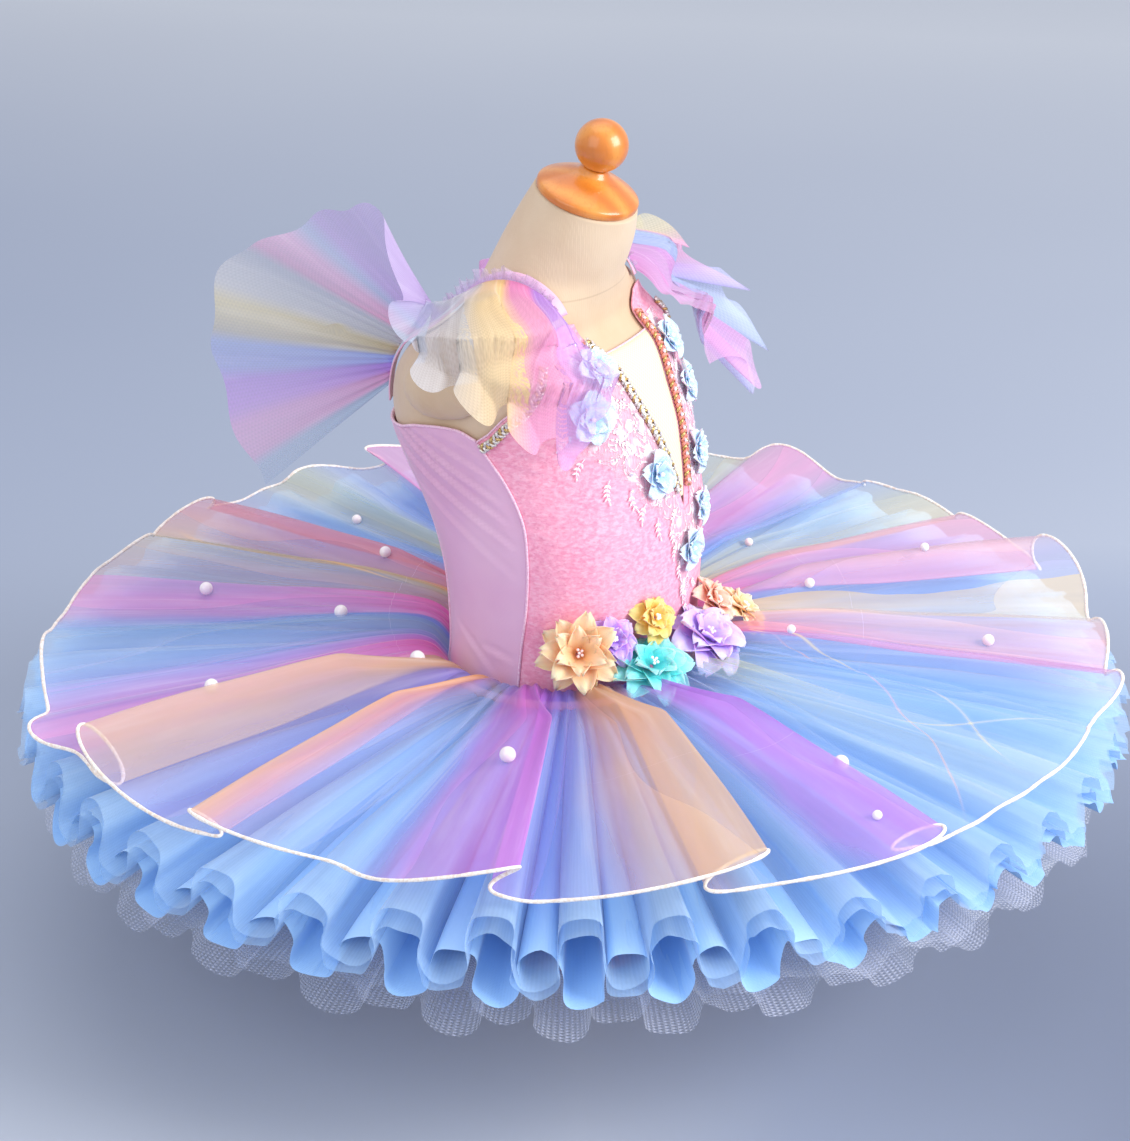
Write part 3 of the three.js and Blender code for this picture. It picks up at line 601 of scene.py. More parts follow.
def gather_recipe():
    """Gathers a flared skirt layer: lifts its angle, reach, waist and base into waves.

    The waves curl round into loops behind the wearer's right; on the other
    side they are calmer and the raw edge is more ragged.
    """
    recipe = Recipe("gathered layer", *GATHER_SIZES)
    angle, reach = recipe.named("angle"), recipe.named("reach")
    seed_number = recipe.input("Seed")
    drift = (angle * 3 + 1).sine() * 0.6 + (angle * 7).sine() * 0.4
    stray = (angle * 2 + seed_number).sine() * recipe.input("Stray")
    phase = angle * recipe.input("Waves") + drift + stray
    wave = phase.sine()
    looped = ((angle - 1.6).sine() * 0.5 + 0.5) ** 3 * 0.8 + 0.2
    depth = (reach ** 1.2 * recipe.input("Depth") + 1.6) * ((angle * 5 + 2).sine() * 0.2 + 1)
    depth = depth * (looped * 0.85 + 0.25)
    pleat = (angle * recipe.input("Pleats") + seed_number + drift * 2).sine()
    tooth = (angle * (recipe.input("Pleats") / (4 * math.pi)) + seed_number).fraction()
    far = ((angle + 1.07).sine() * 0.5 + 0.5) ** 2
    edge = (recipe.input("Edge") + far * 11 - wave * recipe.input("Swing") * reach
            - tooth * recipe.input("Teeth") * reach ** 6 * (1.1 - looped))
    radius = recipe.named("waist") + (edge - recipe.named("waist")) * reach
    place = recipe.node("ShaderNodeCombineXYZ", {}, {0: angle * 9, 1: reach * 3, 2: seed_number})
    crumple = recipe.node("ShaderNodeTexNoise", {"noise_dimensions": "3D"},
                          {"Vector": place, "Scale": 1.0, "Detail": 2.0}) - 0.5
    height = (recipe.named("base") + depth * wave + crumple * reach * 7 + far * reach ** 2 * 7
              + pleat * recipe.input("Pleat depth") * reach - recipe.input("Drop") * reach)
    shift = (pleat * recipe.input("Pleat depth") * reach
             - (phase * 2).sine() * recipe.input("Loop") * looped * reach ** 2)
    turned = angle + shift / radius
    point = recipe.node("ShaderNodeCombineXYZ", {}, {
        0: radius * turned.cosine() * MM,
        1: (radius * turned.sine() + SKIRT_CENTRE_Y) * MM,
        2: (height + WAIST) * MM,
    })
    # The wave is kept as fold; the net finishes read it to paint shade into the troughs.
    noted = recipe.node("GeometryNodeStoreNamedAttribute", {"data_type": "FLOAT", "domain": "POINT"},
                        {0: recipe.input("Geometry"), "Name": "fold", "Value": wave})
    return recipe.end(recipe.node("GeometryNodeSetPosition", {}, {0: noted, "Position": point}))


CORD, BEADS, MOTIFS, GATHERS = cord_recipe(), bead_recipe(), motif_recipe(), gather_recipe()


# ------------------------------------------------------------------ finishes
def linen_finish():
    """Cream cotton jersey, with its fine knit and a little shading of age."""
    f = Finish("cream_jersey")
    place = f.place()
    shade = f.noise(f.scaled(place, (1, 1, 0.6)), 16, 4)
    tint = f.ramp(shade, [(0.3, dye("#cfb391")), (0.7, dye("#dcc7ab"))])
    knit = f.net(place, 1.3) * 0.5 + f.noise(place, 900, 2) * 0.5
    soft = f.bump(f.noise(place, 34, 2), 1.4)
    _, deep, high = f.parts(place)
    seam = ((high - deep * 0.1 - 0.4645).size() * -1100 + 1).held()
    tint = f.mix(seam * 0.35, tint, dye("#9c8266"))
    return f.done(Base_Color=tint, Roughness=0.86, Sheen_Weight=0.25, Sheen_Roughness=0.5,
                  Normal=f.bump(knit, 0.12, soft))


def wood_finish():
    """Varnished honey-coloured turned wood."""
    f = Finish("varnished_wood")
    place = f.scaled(f.place(), (1, 1, 0.35), (0.25, 0.1, 0))
    rings = f.node("ShaderNodeTexWave", {"bands_direction": "X"},
                   {"Vector": place, "Scale": 18.0, "Distortion": 4.0, "Detail": 3.0, "Detail Scale": 1.2})
    pores = f.noise(f.scaled(place, (1, 1, 0.1)), 620, 2)
    tint = f.ramp(rings, [(0.0, dye("#cf7420")), (0.55, dye("#dd842c")), (1.0, dye("#e6953c"))])
    tint = f.mix(((pores - 0.5) * 1.2).held(), tint, dye("#b9641c"))
    return f.done(Base_Color=tint, Roughness=0.32 + pores * 0.12, Coat_Weight=0.7, Coat_Roughness=0.12,
                  Normal=f.bump(pores, 0.06))


def velvet_finish():
    """Pink crushed velvet: a soft nap with darker and paler flecks along the width."""
    f = Finish("pink_crushed_velvet")
    place = f.place()
    crush = f.noise(f.scaled(place, (1, 1, 1.7)), 260, 4, 0.4)
    flecks = f.noise(f.scaled(place, (1, 1, 2.0)), 420, 3, 0.5)
    wide = f.noise(place, 30, 3)
    tint = f.ramp(crush, [(0.36, dye("#ee7fa4")), (0.5, dye("#f99ab8")), (0.64, dye("#ffb9ce"))])
    tint = f.mix(((flecks - 0.57) * 7).held() * 0.8, tint, dye("#dc6a93"))
    tint = f.mix(((0.43 - flecks) * 6).held() * 0.5, tint, dye("#ffd2de"))
    tint = f.mix(wide * 0.5 + 0.1, tint, dye("#ffc6d6"))
    relief = crush * 0.7 + flecks * 0.3
    return f.done(Base_Color=tint, Roughness=0.7, Sheen_Weight=0.6, Sheen_Roughness=0.35,
                  Sheen_Tint=dye("#ffd9e6"), Normal=f.bump(relief, 0.45))


def lycra_finish():
    """Lilac-pink stretch cloth with a satin face and a fine rib."""
    f = Finish("lilac_lycra")
    place = f.place()
    rib = f.parts(place)[2] * (2 * math.pi / (0.9 * MM))
    weave = rib.sine() * 0.5 + 0.5
    tint = f.ramp(f.noise(place, 14, 3), [(0.3, dye("#e6b2d0")), (0.7, dye("#eec3da"))])
    return f.done(Base_Color=tint, Roughness=0.46, Sheen_Weight=0.3, Sheen_Roughness=0.3,
                  Normal=f.bump(weave * 0.4 + f.noise(place, 60, 2), 0.12))


def insert_finish():
    """The pale stretch net of the V, over skin-coloured lining."""
    f = Finish("cream_mesh")
    net = f.net(f.place(), 1.4)
    tint = f.mix(net, dye("#efdcae"), dye("#fcf2d2"))
    return f.done(Base_Color=tint, Roughness=0.75, Sheen_Weight=0.2, Normal=f.bump(net, 0.15))


# The rainbow organza's colours along its hem, from straight behind by way of
# the wearer's right: angle, dye and how closely the cloth covers what is below.
ORGANZA_STRIPES = [
    [-180, "#e2a6c6", 0.55], [-178.5, "#cfbfe6", 0.34], [-177, "#c0cdf2", 0.20],
    [-172, "#bccdf2", 0.20], [-171, "#cf8ade", 0.62], [-168, "#dd7fd6", 0.66],
    [-163, "#d080de", 0.62], [-158, "#b98be6", 0.52], [-155, "#a79fee", 0.36],
    [-151, "#b3a6ea", 0.36], [-150.2, "#f0b586", 0.60], [-147, "#ecc69a", 0.62],
    [-141, "#e6c2a8", 0.56], [-136.5, "#d9bcc8", 0.48], [-133, "#b5cdf4", 0.18],
    [-130.5, "#b5c8f4", 0.20], [-129.5, "#cb92ea", 0.60], [-124, "#c487e6", 0.66],
    [-120.5, "#c68fe6", 0.55], [-119, "#bcc3f2", 0.22], [-107, "#bcd2f4", 0.16],
    [-101, "#d3dcc0", 0.30], [-94, "#d9e0c4", 0.28], [-90, "#b9d3f3", 0.16],
    [-80, "#b9cdf4", 0.18], [-76, "#c9b5ee", 0.40], [-73, "#f59ac0", 0.62],
    [-67, "#f6a8b8", 0.62], [-62, "#f3c3c0", 0.52], [-58, "#dfe0bc", 0.46],
    [-54, "#ecd6ae", 0.52], [-51, "#bcc8f2", 0.34], [-49, "#c0b0f0", 0.40],
    [-46, "#f2c0a4", 0.60], [-41, "#f3a2c4", 0.60], [-35, "#ee98cc", 0.60],
    [-30, "#f0a6c0", 0.56], [-26, "#e3d09c", 0.56], [-20, "#d4d8b4", 0.42],
    [-15, "#a6c0f2", 0.38], [-8, "#b2b4f0", 0.42], [-3, "#f093cc", 0.62],
    [4, "#ee95c4", 0.62], [8, "#dccf9c", 0.54], [14, "#bfd4ca", 0.38],
    [20, "#a9c2f2", 0.34], [26, "#cfa6ea", 0.52], [32, "#f19acb", 0.62],
    [37, "#f2cfa2", 0.56], [41, "#a9bdf1", 0.40], [43.5, "#e98fd0", 0.64],
    [50, "#ee8ccb", 0.66], [54, "#a3b4f2", 0.42], [59, "#9fb4f0", 0.42],
    [63, "#cdd3a6", 0.52], [68, "#d3cfa4", 0.50], [72, "#a8b8ee", 0.36],
    [79, "#e98aa6", 0.56], [86, "#e0909c", 0.56], [90, "#efba76", 0.68],
    [93, "#d8c39a", 0.50], [98, "#d8a9a6", 0.52], [103, "#ee88c8", 0.66],
    [112, "#ec8fcb", 0.62], [116, "#9bb2f0", 0.36], [121, "#b4c4da", 0.40],
    [127, "#b9bfe2", 0.36], [132, "#c9a6e6", 0.48], [137, "#f08acb", 0.68],
    [147, "#ef90cc", 0.66], [150, "#e6bda6", 0.60], [158, "#e2cd9a", 0.60],
    [164.5, "#e3bda8", 0.60], [166.5, "#b9a9ea", 0.46], [171, "#b7b4ee", 0.42],
    [174, "#d9b3c8", 0.50], [176, "#f4b970", 0.72], [178.2, "#f0c08c", 0.66],
    [180, "#e2a6c6", 0.55],
]
# Fine lines where the clear organza is creased double: where each starts and
# ends, as an angle and a reach, its dye and its width in degrees.
ORGANZA_CREASES = [
    [-71, 0.16, -97, 0.94, "#f6e08c", 0.34],
    [-76, 0.26, -109, 0.99, "#f4b49c", 0.32],
    [-96, 0.62, -86, 0.98, "#f2e08e", 0.30],
    [178, 0.16, -170, 0.60, "#f6e4ee", 0.30],
    [96, 0.20, 88, 0.95, "#f2b560", 0.40],
]


# A colour ramp takes at most 32 stops, so a longer table runs over several.
RAMP_STOPS = 31


def striped(f, share, stripes):
    """Colour and opacity along a table of stripes that run from share 0 to 1."""
    start, span = stripes[0][0], stripes[-1][0] - stripes[0][0]
    stops = [((at - start) / span, dye(code, opacity)) for at, code, opacity in stripes]
    ramp = f.ramp(share, stops[:RAMP_STOPS])
    shade, cover = ramp, ramp.out("Alpha")
    for first in range(RAMP_STOPS, len(stops), RAMP_STOPS):
        ramp = f.ramp(share, stops[first:first + RAMP_STOPS])
        past = share.above(stops[first][0])
        shade = f.mix(past, shade, ramp)
        cover = cover + past * (ramp.out("Alpha") - cover)
    return shade, cover


def organza_finish():
    """Sheer striped organza: richer and closer where it is gathered, creased or steep, with a painted
    highlight on the raised streaks of its gathers.
    """
    f = Finish("rainbow_organza")
    around, reach, _ = f.parts(f.cloth_uv())
    streaks = f.noise(f.scaled(f.cloth_uv(), (300, 2.0, 1)), 1.0, 3)
    wander = (f.noise(f.scaled(f.cloth_uv(), (26, 2.5, 1)), 1.0, 2) - 0.5) * 0.007
    shade, cover = striped(f, (around + wander).held(), ORGANZA_STRIPES)
    gathered = (1 - reach) ** 3
    shade = f.mix((gathered * 0.9).held(), shade, f.mix(1.0, shade, shade, "MULTIPLY"))
    # Painted highlight: the raised streaks of the gathers are paled towards white.
    shade = f.mix(((streaks - 0.55) * 2.5).held() * 0.35, shade, dye("#ffffff"))
    pleats = (around * 61 + f.noise(f.scaled(f.cloth_uv(), (16, 0.6, 1)), 1.0, 2) * 5).fraction() ** 4
    cover = cover * (0.52 + streaks * 0.4) + gathered * 0.36 + f.attribute("steep") * 0.2 - 0.03
    cover = cover + pleats * 0.14
    for start, inner, end, outer, code, width in ORGANZA_CREASES:
        share = (reach - inner) / (outer - inner)
        start, end = (start + 180) / 360, (end + 180) / 360
        beside = (around - (share * (end - start) + start)).size() * (-360 / width) + 1
        crease = beside.held() * (share * (1 - share) * 8).held()
        shade = f.mix(crease * 0.8, shade, dye(code))
        cover = cover + crease * 0.25
    return f.done(Base_Color=shade, Roughness=0.4, Alpha=cover.held(),
                  Sheen_Weight=0.3, Sheen_Roughness=0.3, Specular_IOR_Level=0.4,
                  Normal=f.bump(streaks * 0.6 + pleats * 0.4, 0.5))


def tulle_finish(name, near, middle, far, opacity, cell=1.7, holes=0.16):
    """Gathered net: deepest in colour at the waist and palest at its raw edge, with painted shade in the
    troughs of its waves and the hollows of its pleats, and a painted highlight on its pleats' ridges.
    """
    f = Finish(name)
    around, reach, _ = f.parts(f.cloth_uv())
    net = f.net(f.scaled(f.cloth_uv(), (3.6, 0.3, 1)), cell)
    folds = f.noise(f.scaled(f.cloth_uv(), (300, 1.2, 1)), 1.0, 2)
    pleat = (around * 97 + folds * 1.4).fraction()
    # The pleats' ridges: raised in the relief, and given a painted highlight below.
    lit = (pleat ** 3).held()
    shade = f.ramp(reach, [(0.0, dye(near)), (0.55, dye(middle)), (1.0, dye(far))])
    # Painted light: shade in the wave troughs, a highlight on each pleat's ridge, shade in each pleat's
    # hollow.
    shade = f.mix((0.5 - f.attribute("fold") * 0.5).held() * 0.35, shade, dye(near))
    shade = f.mix(lit * (1 - reach * 0.5) * 0.55, shade, dye(far))
    shade = f.mix((0.35 - pleat).held() * (1.1 - reach), shade, dye(near))
    relief = f.bump(lit * 0.8 + net * 0.2, 0.6)
    if opacity is None:
        return f.done(Base_Color=shade, Roughness=0.75, Sheen_Weight=0.4, Sheen_Roughness=0.4, Normal=relief)
    cover = (net - 0.5) * holes + opacity + (1 - reach) ** 2 * 0.35 - reach ** 6 * 0.16
    cover = cover + f.attribute("steep") * 0.16 + (folds - 0.5) * 0.3
    return f.done(Base_Color=shade, Roughness=0.75, Alpha=cover.held(), Sheen_Weight=0.4,
                  Sheen_Roughness=0.4, Normal=relief)


# Colours along the gathered edge of each shoulder ruffle, front to back.
RUFFLE_STRIPES = {
    "ruffle_right": [
        [0, "#c9a3e2", 0.60], [12, "#c9a3e2", 0.56], [15, "#efa9cf", 0.62], [21, "#efa9cf", 0.62],
        [24, "#f6d9a0", 0.68], [31, "#f3dcae", 0.60], [34, "#d5d2cf", 0.50], [42, "#c9cdd8", 0.50],
        [50, "#c0cbe0", 0.50], [56, "#cdb6e8", 0.60], [73, "#cfb0ea", 0.60], [74.5, "#b9c4e6", 0.52],
        [76, "#e6b6d8", 0.60], [79, "#eab0d0", 0.60], [80.5, "#c9cad2", 0.52], [84.5, "#cbc8c6", 0.54],
        [85.5, "#d6ca9e", 0.66], [88, "#c9c0a6", 0.62], [89, "#aebff0", 0.56], [91.5, "#b0b6ee", 0.56],
        [92.5, "#bf92e4", 0.62], [94.4, "#c795e2", 0.62], [95.4, "#dda4d2", 0.60], [97.6, "#e2aad2", 0.58],
        [98.4, "#b2c6de", 0.42], [100, "#a9c6de", 0.34],
    ],
    "ruffle_left": [
        [0, "#e0a8d6", 0.60], [18, "#dca8dc", 0.58], [22, "#bcc6f0", 0.54], [34, "#bcd0ee", 0.54],
        [42, "#c6bcf0", 0.56], [46, "#eaa6d4", 0.62], [52, "#efb0cf", 0.60], [54, "#f0dfae", 0.58],
        [60, "#dfe2c0", 0.50], [66, "#b9cdea", 0.50], [80, "#d5a8e6", 0.58], [90, "#efa4cc", 0.60],
        [100, "#e8dcae", 0.56],
    ],
}


def ruffle_finish(side):
    f = Finish(f"rainbow_tulle_{side}")
    along, reach, _ = f.parts(f.cloth_uv())
    net = f.net(f.scaled(f.cloth_uv(), (0.7, 0.1, 1)), 1.8)
    rays = f.noise(f.scaled(f.cloth_uv(), (70, 1.2, 1)), 1.0, 2)
    shade, cover = striped(f, along, RUFFLE_STRIPES[f"ruffle_{side}"])
    gathered = (1 - reach) ** 2
    shade = f.mix((gathered * 0.8).held(), shade, f.mix(1.0, shade, shade, "MULTIPLY"))
    # Painted highlight: the raised rays of the gathers are paled towards white.
    shade = f.mix(((rays - 0.55) * 2).held() * 0.4, shade, dye("#ffffff"))
    cover = cover * 0.88 + (net - 0.5) * 0.14 + gathered * 0.3 + (rays - 0.5) * 0.24
    return f.done(Base_Color=shade, Roughness=0.6, Alpha=cover.held(), Sheen_Weight=0.4,
                  Sheen_Roughness=0.4, Normal=f.bump(rays * 0.7 + net * 0.1, 0.25))


def petal_finish(name, base, body, tip):
    """A heat-pressed cloth petal: deep at its foot, pale at its rim, finely veined."""
    f = Finish(name)
    _, out, _ = f.parts(f.cloth_uv())
    veins = f.noise(f.scaled(f.cloth_uv(), (26, 1.2, 1)), 1.0, 2)
    shade = f.ramp(out, [(0.0, dye(base)), (0.45, dye(body)), (1.0, dye(tip))])
    shade = f.mix(((veins - 0.5) * 2).held() * 0.3, shade, dye(tip))
    fuzz = f.noise(f.place(), 700, 2)
    return f.done(Base_Color=shade, Roughness=0.7, Sheen_Weight=0.4, Sheen_Roughness=0.4,
                  Subsurface_Weight=0.35, Subsurface_Scale=0.004,
                  Normal=f.bump(veins * 0.8 + fuzz * 0.2, 0.2))


def pearl_finish():
    f = Finish("pearl")
    lustre = f.noise(f.place(), 90, 2)
    tint = f.ramp(lustre, [(0.35, dye("#f3e3ee")), (0.6, dye("#fffaf6"))])
    return f.done(Base_Color=tint, Roughness=0.2, Coat_Weight=0.8, Coat_Roughness=0.06,
                  Sheen_Weight=0.2, Sheen_Roughness=0.2)


def thread_finish(name, dark, light, size=700, metallic=0.0, roughness=0.7, depth=0.25):
    """Twisted thread: short light and dark strands over a soft relief."""
    f = Finish(name)
    strands = f.noise(f.place(), size, 2, 0.5)
    tint = f.ramp(strands, [(0.35, dye(dark)), (0.65, dye(light))])
    return f.done(Base_Color=tint, Roughness=roughness, Metallic=metallic, Sheen_Weight=0.2,
                  Normal=f.bump(strands, depth))


def lace_finish():
    """Pink-white corded lace: close flowers by the neck, open and scalloped at its border."""
    f = Finish("white_lace")
    place = f.place()
    across, _, _ = f.parts(f.cloth_uv())
    ground = f.net(place, 1.9)
    cells = f.node("ShaderNodeTexVoronoi", {"feature": "F1"}, {"Vector": place, "Scale": 84.0}, out=0)
    swirl = (f.noise(place, 95, 2, 1.4) - 0.5).size()
    flower = ((0.4 - cells) * 5).held()
    cord_line = ((0.05 - swirl) * 26).held()
    solid = (flower * 0.8 + cord_line).held()
    border = ((1 - across) * 2.6 + (f.noise(place, 60, 2) - 0.5) * 1.6).held()
    cover = (border * (solid * 0.34 + (ground - 0.45) * 0.24 + 0.5) + solid * 0.25 * (1 - across)).held()
    tint = f.mix(solid, dye("#f9cfdf"), dye("#fff6fa"))
    return f.done(Base_Color=tint, Roughness=0.75, Alpha=cover, Sheen_Weight=0.2,
                  Normal=f.bump(solid, 0.5))


def floor_finish(right, near):
    """Seamless grey backdrop paper with painted shading: palest far away, and painted shade on the key
    light's side nearest the camera, where that lamp lights the floor most.
    """
    f = Finish("studio_floor")
    x, y, _ = f.parts(f.place())
    across = x * right[0] + y * right[1]
    towards = x * near[0] + y * near[1]
    # Painted shade: darkens the floor on the key light's side, nearest the camera, against that lamp's light.
    beside = (across * 2.2).held() * (towards + 0.6).held()
    # Painted shading: the floor's tone changes with distance from the camera and across the view.
    fade = (towards + 1.1) ** 2 * 0.2 - towards * 0.1 + across * 0.1 - beside * 1.25
    fade = fade + f.noise(f.place(), 1.1, 2) * 0.1 + 0.4
    tint = f.ramp(fade.held(), [(0.0, dye("#767f94")), (0.5, dye("#9ba5b9")), (1.0, dye("#c7cdd6"))])
    return f.done(Base_Color=tint, Roughness=0.9)


LINEN, WOOD = linen_finish(), wood_finish()
VELVET, LYCRA, INSERT = velvet_finish(), lycra_finish(), insert_finish()
ORGANZA = organza_finish()
BLUE_TULLE = tulle_finish("blue_tulle", "#7bb2f4", "#9dcdfb", "#bfe0fe", 0.54, 1.7, 0.08)
DEEP_TULLE = tulle_finish("deep_blue_tulle", "#6ba8f2", "#8cc3fa", "#bbdfff", 0.62, 1.7, 0.08)
UNDER_TULLE = tulle_finish("under_blue_tulle", "#6ba8f2", "#8cc3fa", "#b0d9ff", None)
PALE_NET = tulle_finish("pale_net", "#c4cbf2", "#d2daf6", "#eef2fc", 0.32, 3.4, 0.75)
FRILL = tulle_finish("lilac_frill_tulle", "#d9b8ee", "#e6cbf2", "#f2def6", 0.5, 2.0, 0.3)
PEARL, LACE = pearl_finish(), lace_finish()
HEM_THREAD = thread_finish("cream_hem_thread", "#ecd9c9", "#fffaf4", 480, depth=0.5)
PIPING = thread_finish("pale_pink_piping", "#ecb5d0", "#fbdcea", 900, roughness=0.45)
SILVER = thread_finish("silver_thread", "#b9b2aa", "#fffaf2", 900, 0.6, 0.3)
GOLD = thread_finish("gold_thread", "#a9803f", "#ecd08e", 900, 0.7, 0.35)
CORAL = thread_finish("coral_thread", "#dd7266", "#f6a79a", 800, roughness=0.5)
WHITE_THREAD = thread_finish("white_lace_thread", "#f7dce8", "#ffffff", 700, depth=0.2)
SEQUIN = thread_finish("sequin", "#efe0ef", "#ffffff", 300, 0.6, 0.18, 0.02)


# ------------------------------------------------------------------ handing over
def worn(piece, slot, *nodes, material=None):
    """Rides the piece on the dress, puts on its material when one is given and hides the model's parts it
    stands for; the slot is not used.
    """
    if material:
        piece.data.materials.clear()
        piece.data.materials.append(material)
    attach(piece, "root")
    if nodes:
        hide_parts(*nodes)
    return piece


def seed(name, points, edges=(), **attributes):
    """A bare mesh of points and edges in metres for a recipe to grow on."""
    mesh = bpy.data.meshes.new(name)
    mesh.from_pydata((np.asarray(points) * MM).tolist(), list(edges), [])
    for key, values in attributes.items():
        hold(mesh, key, values)
    return linked(name, mesh)


def cord(name, paths, radius, material, slot, nodes=(), closed=False, sides=8, uneven=0.0, lump=300):
    """Round cords along one or more paths."""
    points, edges = np.concatenate(paths), []
    start = 0
    for path in paths:
        count = len(path)
        edges += [(start + i, start + i + 1) for i in range(count - 1)]
        if closed:
            edges.append((start + count - 1, start))
        start += count
    piece = seed(name, points, edges)
    CORD.grow(piece, Radius=radius * MM, Sides=sides, Unevenness=uneven, Lump=float(lump), Material=material)
    return worn(piece, slot, *nodes)


def beads(name, points, radius, material, sizes, rounds=3):
    """Pearls or seed beads at the points, each as large as its size times the radius."""
    piece = seed(name, points, size=sizes)
    BEADS.grow(piece, Radius=radius * MM, Rounds=rounds, Material=material)
    return worn(piece, "pearl")


def motifs(name, motif, points, out, aim, sizes, material, slot):
    """Copies of a motif, each standing along its out vector and turned to its aim."""
    piece = seed(name, points, out=out, aim=aim, size=sizes)
    MOTIFS.grow(piece, Motif=motif, Size=1.0, Material=material)
    return worn(piece, slot)


# ------------------------------------------------------------------ the dress form
def build_torso():
    turn = np.linspace(0, 360, 144, endpoint=False)
    height = np.unique(np.concatenate([np.linspace(20.3, 150, 16), np.linspace(150, 400, 60),
                                       np.linspace(400, 521, 70)]))
    grid = skin(turn[:, None], height[None, :], np.zeros((len(turn), len(height))))
    worn(capped_piece("torso_jersey", grid), "linen", "form_torso", material=LINEN)


NECK_LEAN = math.atan(FORM_SECTIONS[-1][5])
NECK_TOP = np.array([0, FORM_SECTIONS[-1][1], FORM_SECTIONS[-1][0]])


def on_neck(lift):
    """Puts a turned piece on the slanted top of the neck."""
    across = np.array([1, 0, 0])
    axis = np.array([0, -math.sin(NECK_LEAN), math.cos(NECK_LEAN)])
    back = np.cross(axis, across)
    return lambda p: NECK_TOP + axis * lift + p[..., :1] * across + p[..., 1:2] * back + p[..., 2:] * axis


def build_stand():
    profile = [(0.5, 0), (90, 0), (92, 2), (92, 15), (87, 20), (0.5, 20)]
    base = turned_piece("wooden_base", rounded(profile, 2.5), lambda p: p)
    worn(base, "wood", "form_base", material=WOOD)
    cap = [(0.5, 0), (32.8, 0), (33.8, 1.5), (33.8, 5), (31.3, 7), (26, 10), (20, 13), (15, 15),
           (11, 17), (9.5, 19), (8, 21), (0.5, 21)]
    piece = turned_piece("neck_cap", rounded(cap, 1.4), on_neck(0.35))
    worn(piece, "wood", "form_neck_cap", material=WOOD)
    angle = np.radians(np.linspace(-62.3, 89.5, 40))
    ball = [(0.5, -15.23), *zip(17.2 * np.cos(angle), 17.2 * np.sin(angle))]
    piece = turned_piece("neck_ball", ball, on_neck(0.35 + 21 + 0.35 + 15.23))
    worn(piece, "wood", "form_neck_ball", material=WOOD)


def build_arm_plate(side, label):
    """The cloth-covered plate over the form's armhole, puckered a little at its rim."""
    around = np.linspace(0, 2 * np.pi, 72, endpoint=False)
    share = np.array([1.0, 0.99, 0.97, 0.93, 0.87, 0.78, 0.66, 0.52, 0.36, 0.18, 0.02])
    back = np.array([0.3, 0.7, 0.96])

    def ring(part, off):
        turn = side * (ARM_PLATE["turn"] + part * ARM_PLATE["half_turn"] * np.cos(around)[:, None])
        height = ARM_PLATE["height"] + part * ARM_PLATE["half_height"] * np.sin(around)[:, None]
        return skin(turn, height, off)

    pucker = 0.35 * np.sin(17 * around)[:, None] * share**3
    front = ring(share, 1.5 + ARM_PLATE["bulge"] * np.sqrt(1 - share**2) + pucker)
    behind = ring(back, np.full((len(around), len(back)), 0.7))
    grid = np.concatenate([behind, front], axis=1)
    piece = capped_piece(f"arm_plate_{label}", grid, inside_out=side < 0)
    worn(piece, "linen", f"form_arm_plate_{label}", material=LINEN)


# ------------------------------------------------------------------ bodice
def side_seam(height):
    return read_table(SIDE_SEAM, height)[1]


# Millimetres to a degree of turn, and how far the left side's drag lines lie lower.
DEGREE = 1.6
LEFT_LOWER = 9


def creased(turn, height):
    """Depth of the drag lines at a place on the bodice."""
    depth = np.zeros(np.broadcast(turn, height).shape)
    for start_turn, start_height, end_turn, end_height, deep, wide in BODICE_CREASES:
        for side in (1, -1):
            start = np.array([side * start_turn * DEGREE, start_height - LEFT_LOWER * (side < 0)])
            end = np.array([side * end_turn * DEGREE, end_height - LEFT_LOWER * (side < 0)])
            along = end - start
            length = np.linalg.norm(along)
            along = along / length
            dx, dz = turn * DEGREE - start[0], height - start[1]
            share = (dx * along[0] + dz * along[1]) / length
            bow = 0.05 * length * np.sin(np.pi * np.clip(share, 0, 1))
            beside = dx * along[1] - dz * along[0] + bow
            fade = np.clip(1 - np.abs(2 * share - 1), 0, 1) ** 0.6
            depth += deep * fade * (0.7 * bell((beside - wide) / (1.4 * wide)) - bell(beside / wide))
    return np.clip(depth, -1.15, 2.4)


def front_columns():
    """Columns of the front panel: share of the way to the side seam, and top height."""
    def half(side):
        armhole = [(turn, height) for height, turn in ARMHOLE_EDGE]
        neck = []
        for height in NECK_EDGE_HEIGHTS:
            _, middle, half_width = read_table(NECK_V, height)
            neck.append((side * front_turn(middle + side * half_width, height), height))
        edge = [*armhole, (STRAP_TOP["turn"], STRAP_TOP["height"]), *neck]
        return [(side * turn / side_seam(height), height) for turn, height in edge]
    height, middle, _ = NECK_V[0]
    centre = (front_turn(middle, height) / side_seam(height), height)
    return np.array([*half(-1), centre, *half(1)[::-1]], float)


def bodice_panel(name, turn, height, slot, material):
    """A closed cloth panel through its turns and heights, columns first."""
    grid = skin(turn, height, BODICE_OUTER + creased(turn, height))
    piece = sheet_piece(f"{name}_cloth", grid)
    thicken(piece, CLOTH * 0.85)
    return worn(piece, slot, name, material=material)


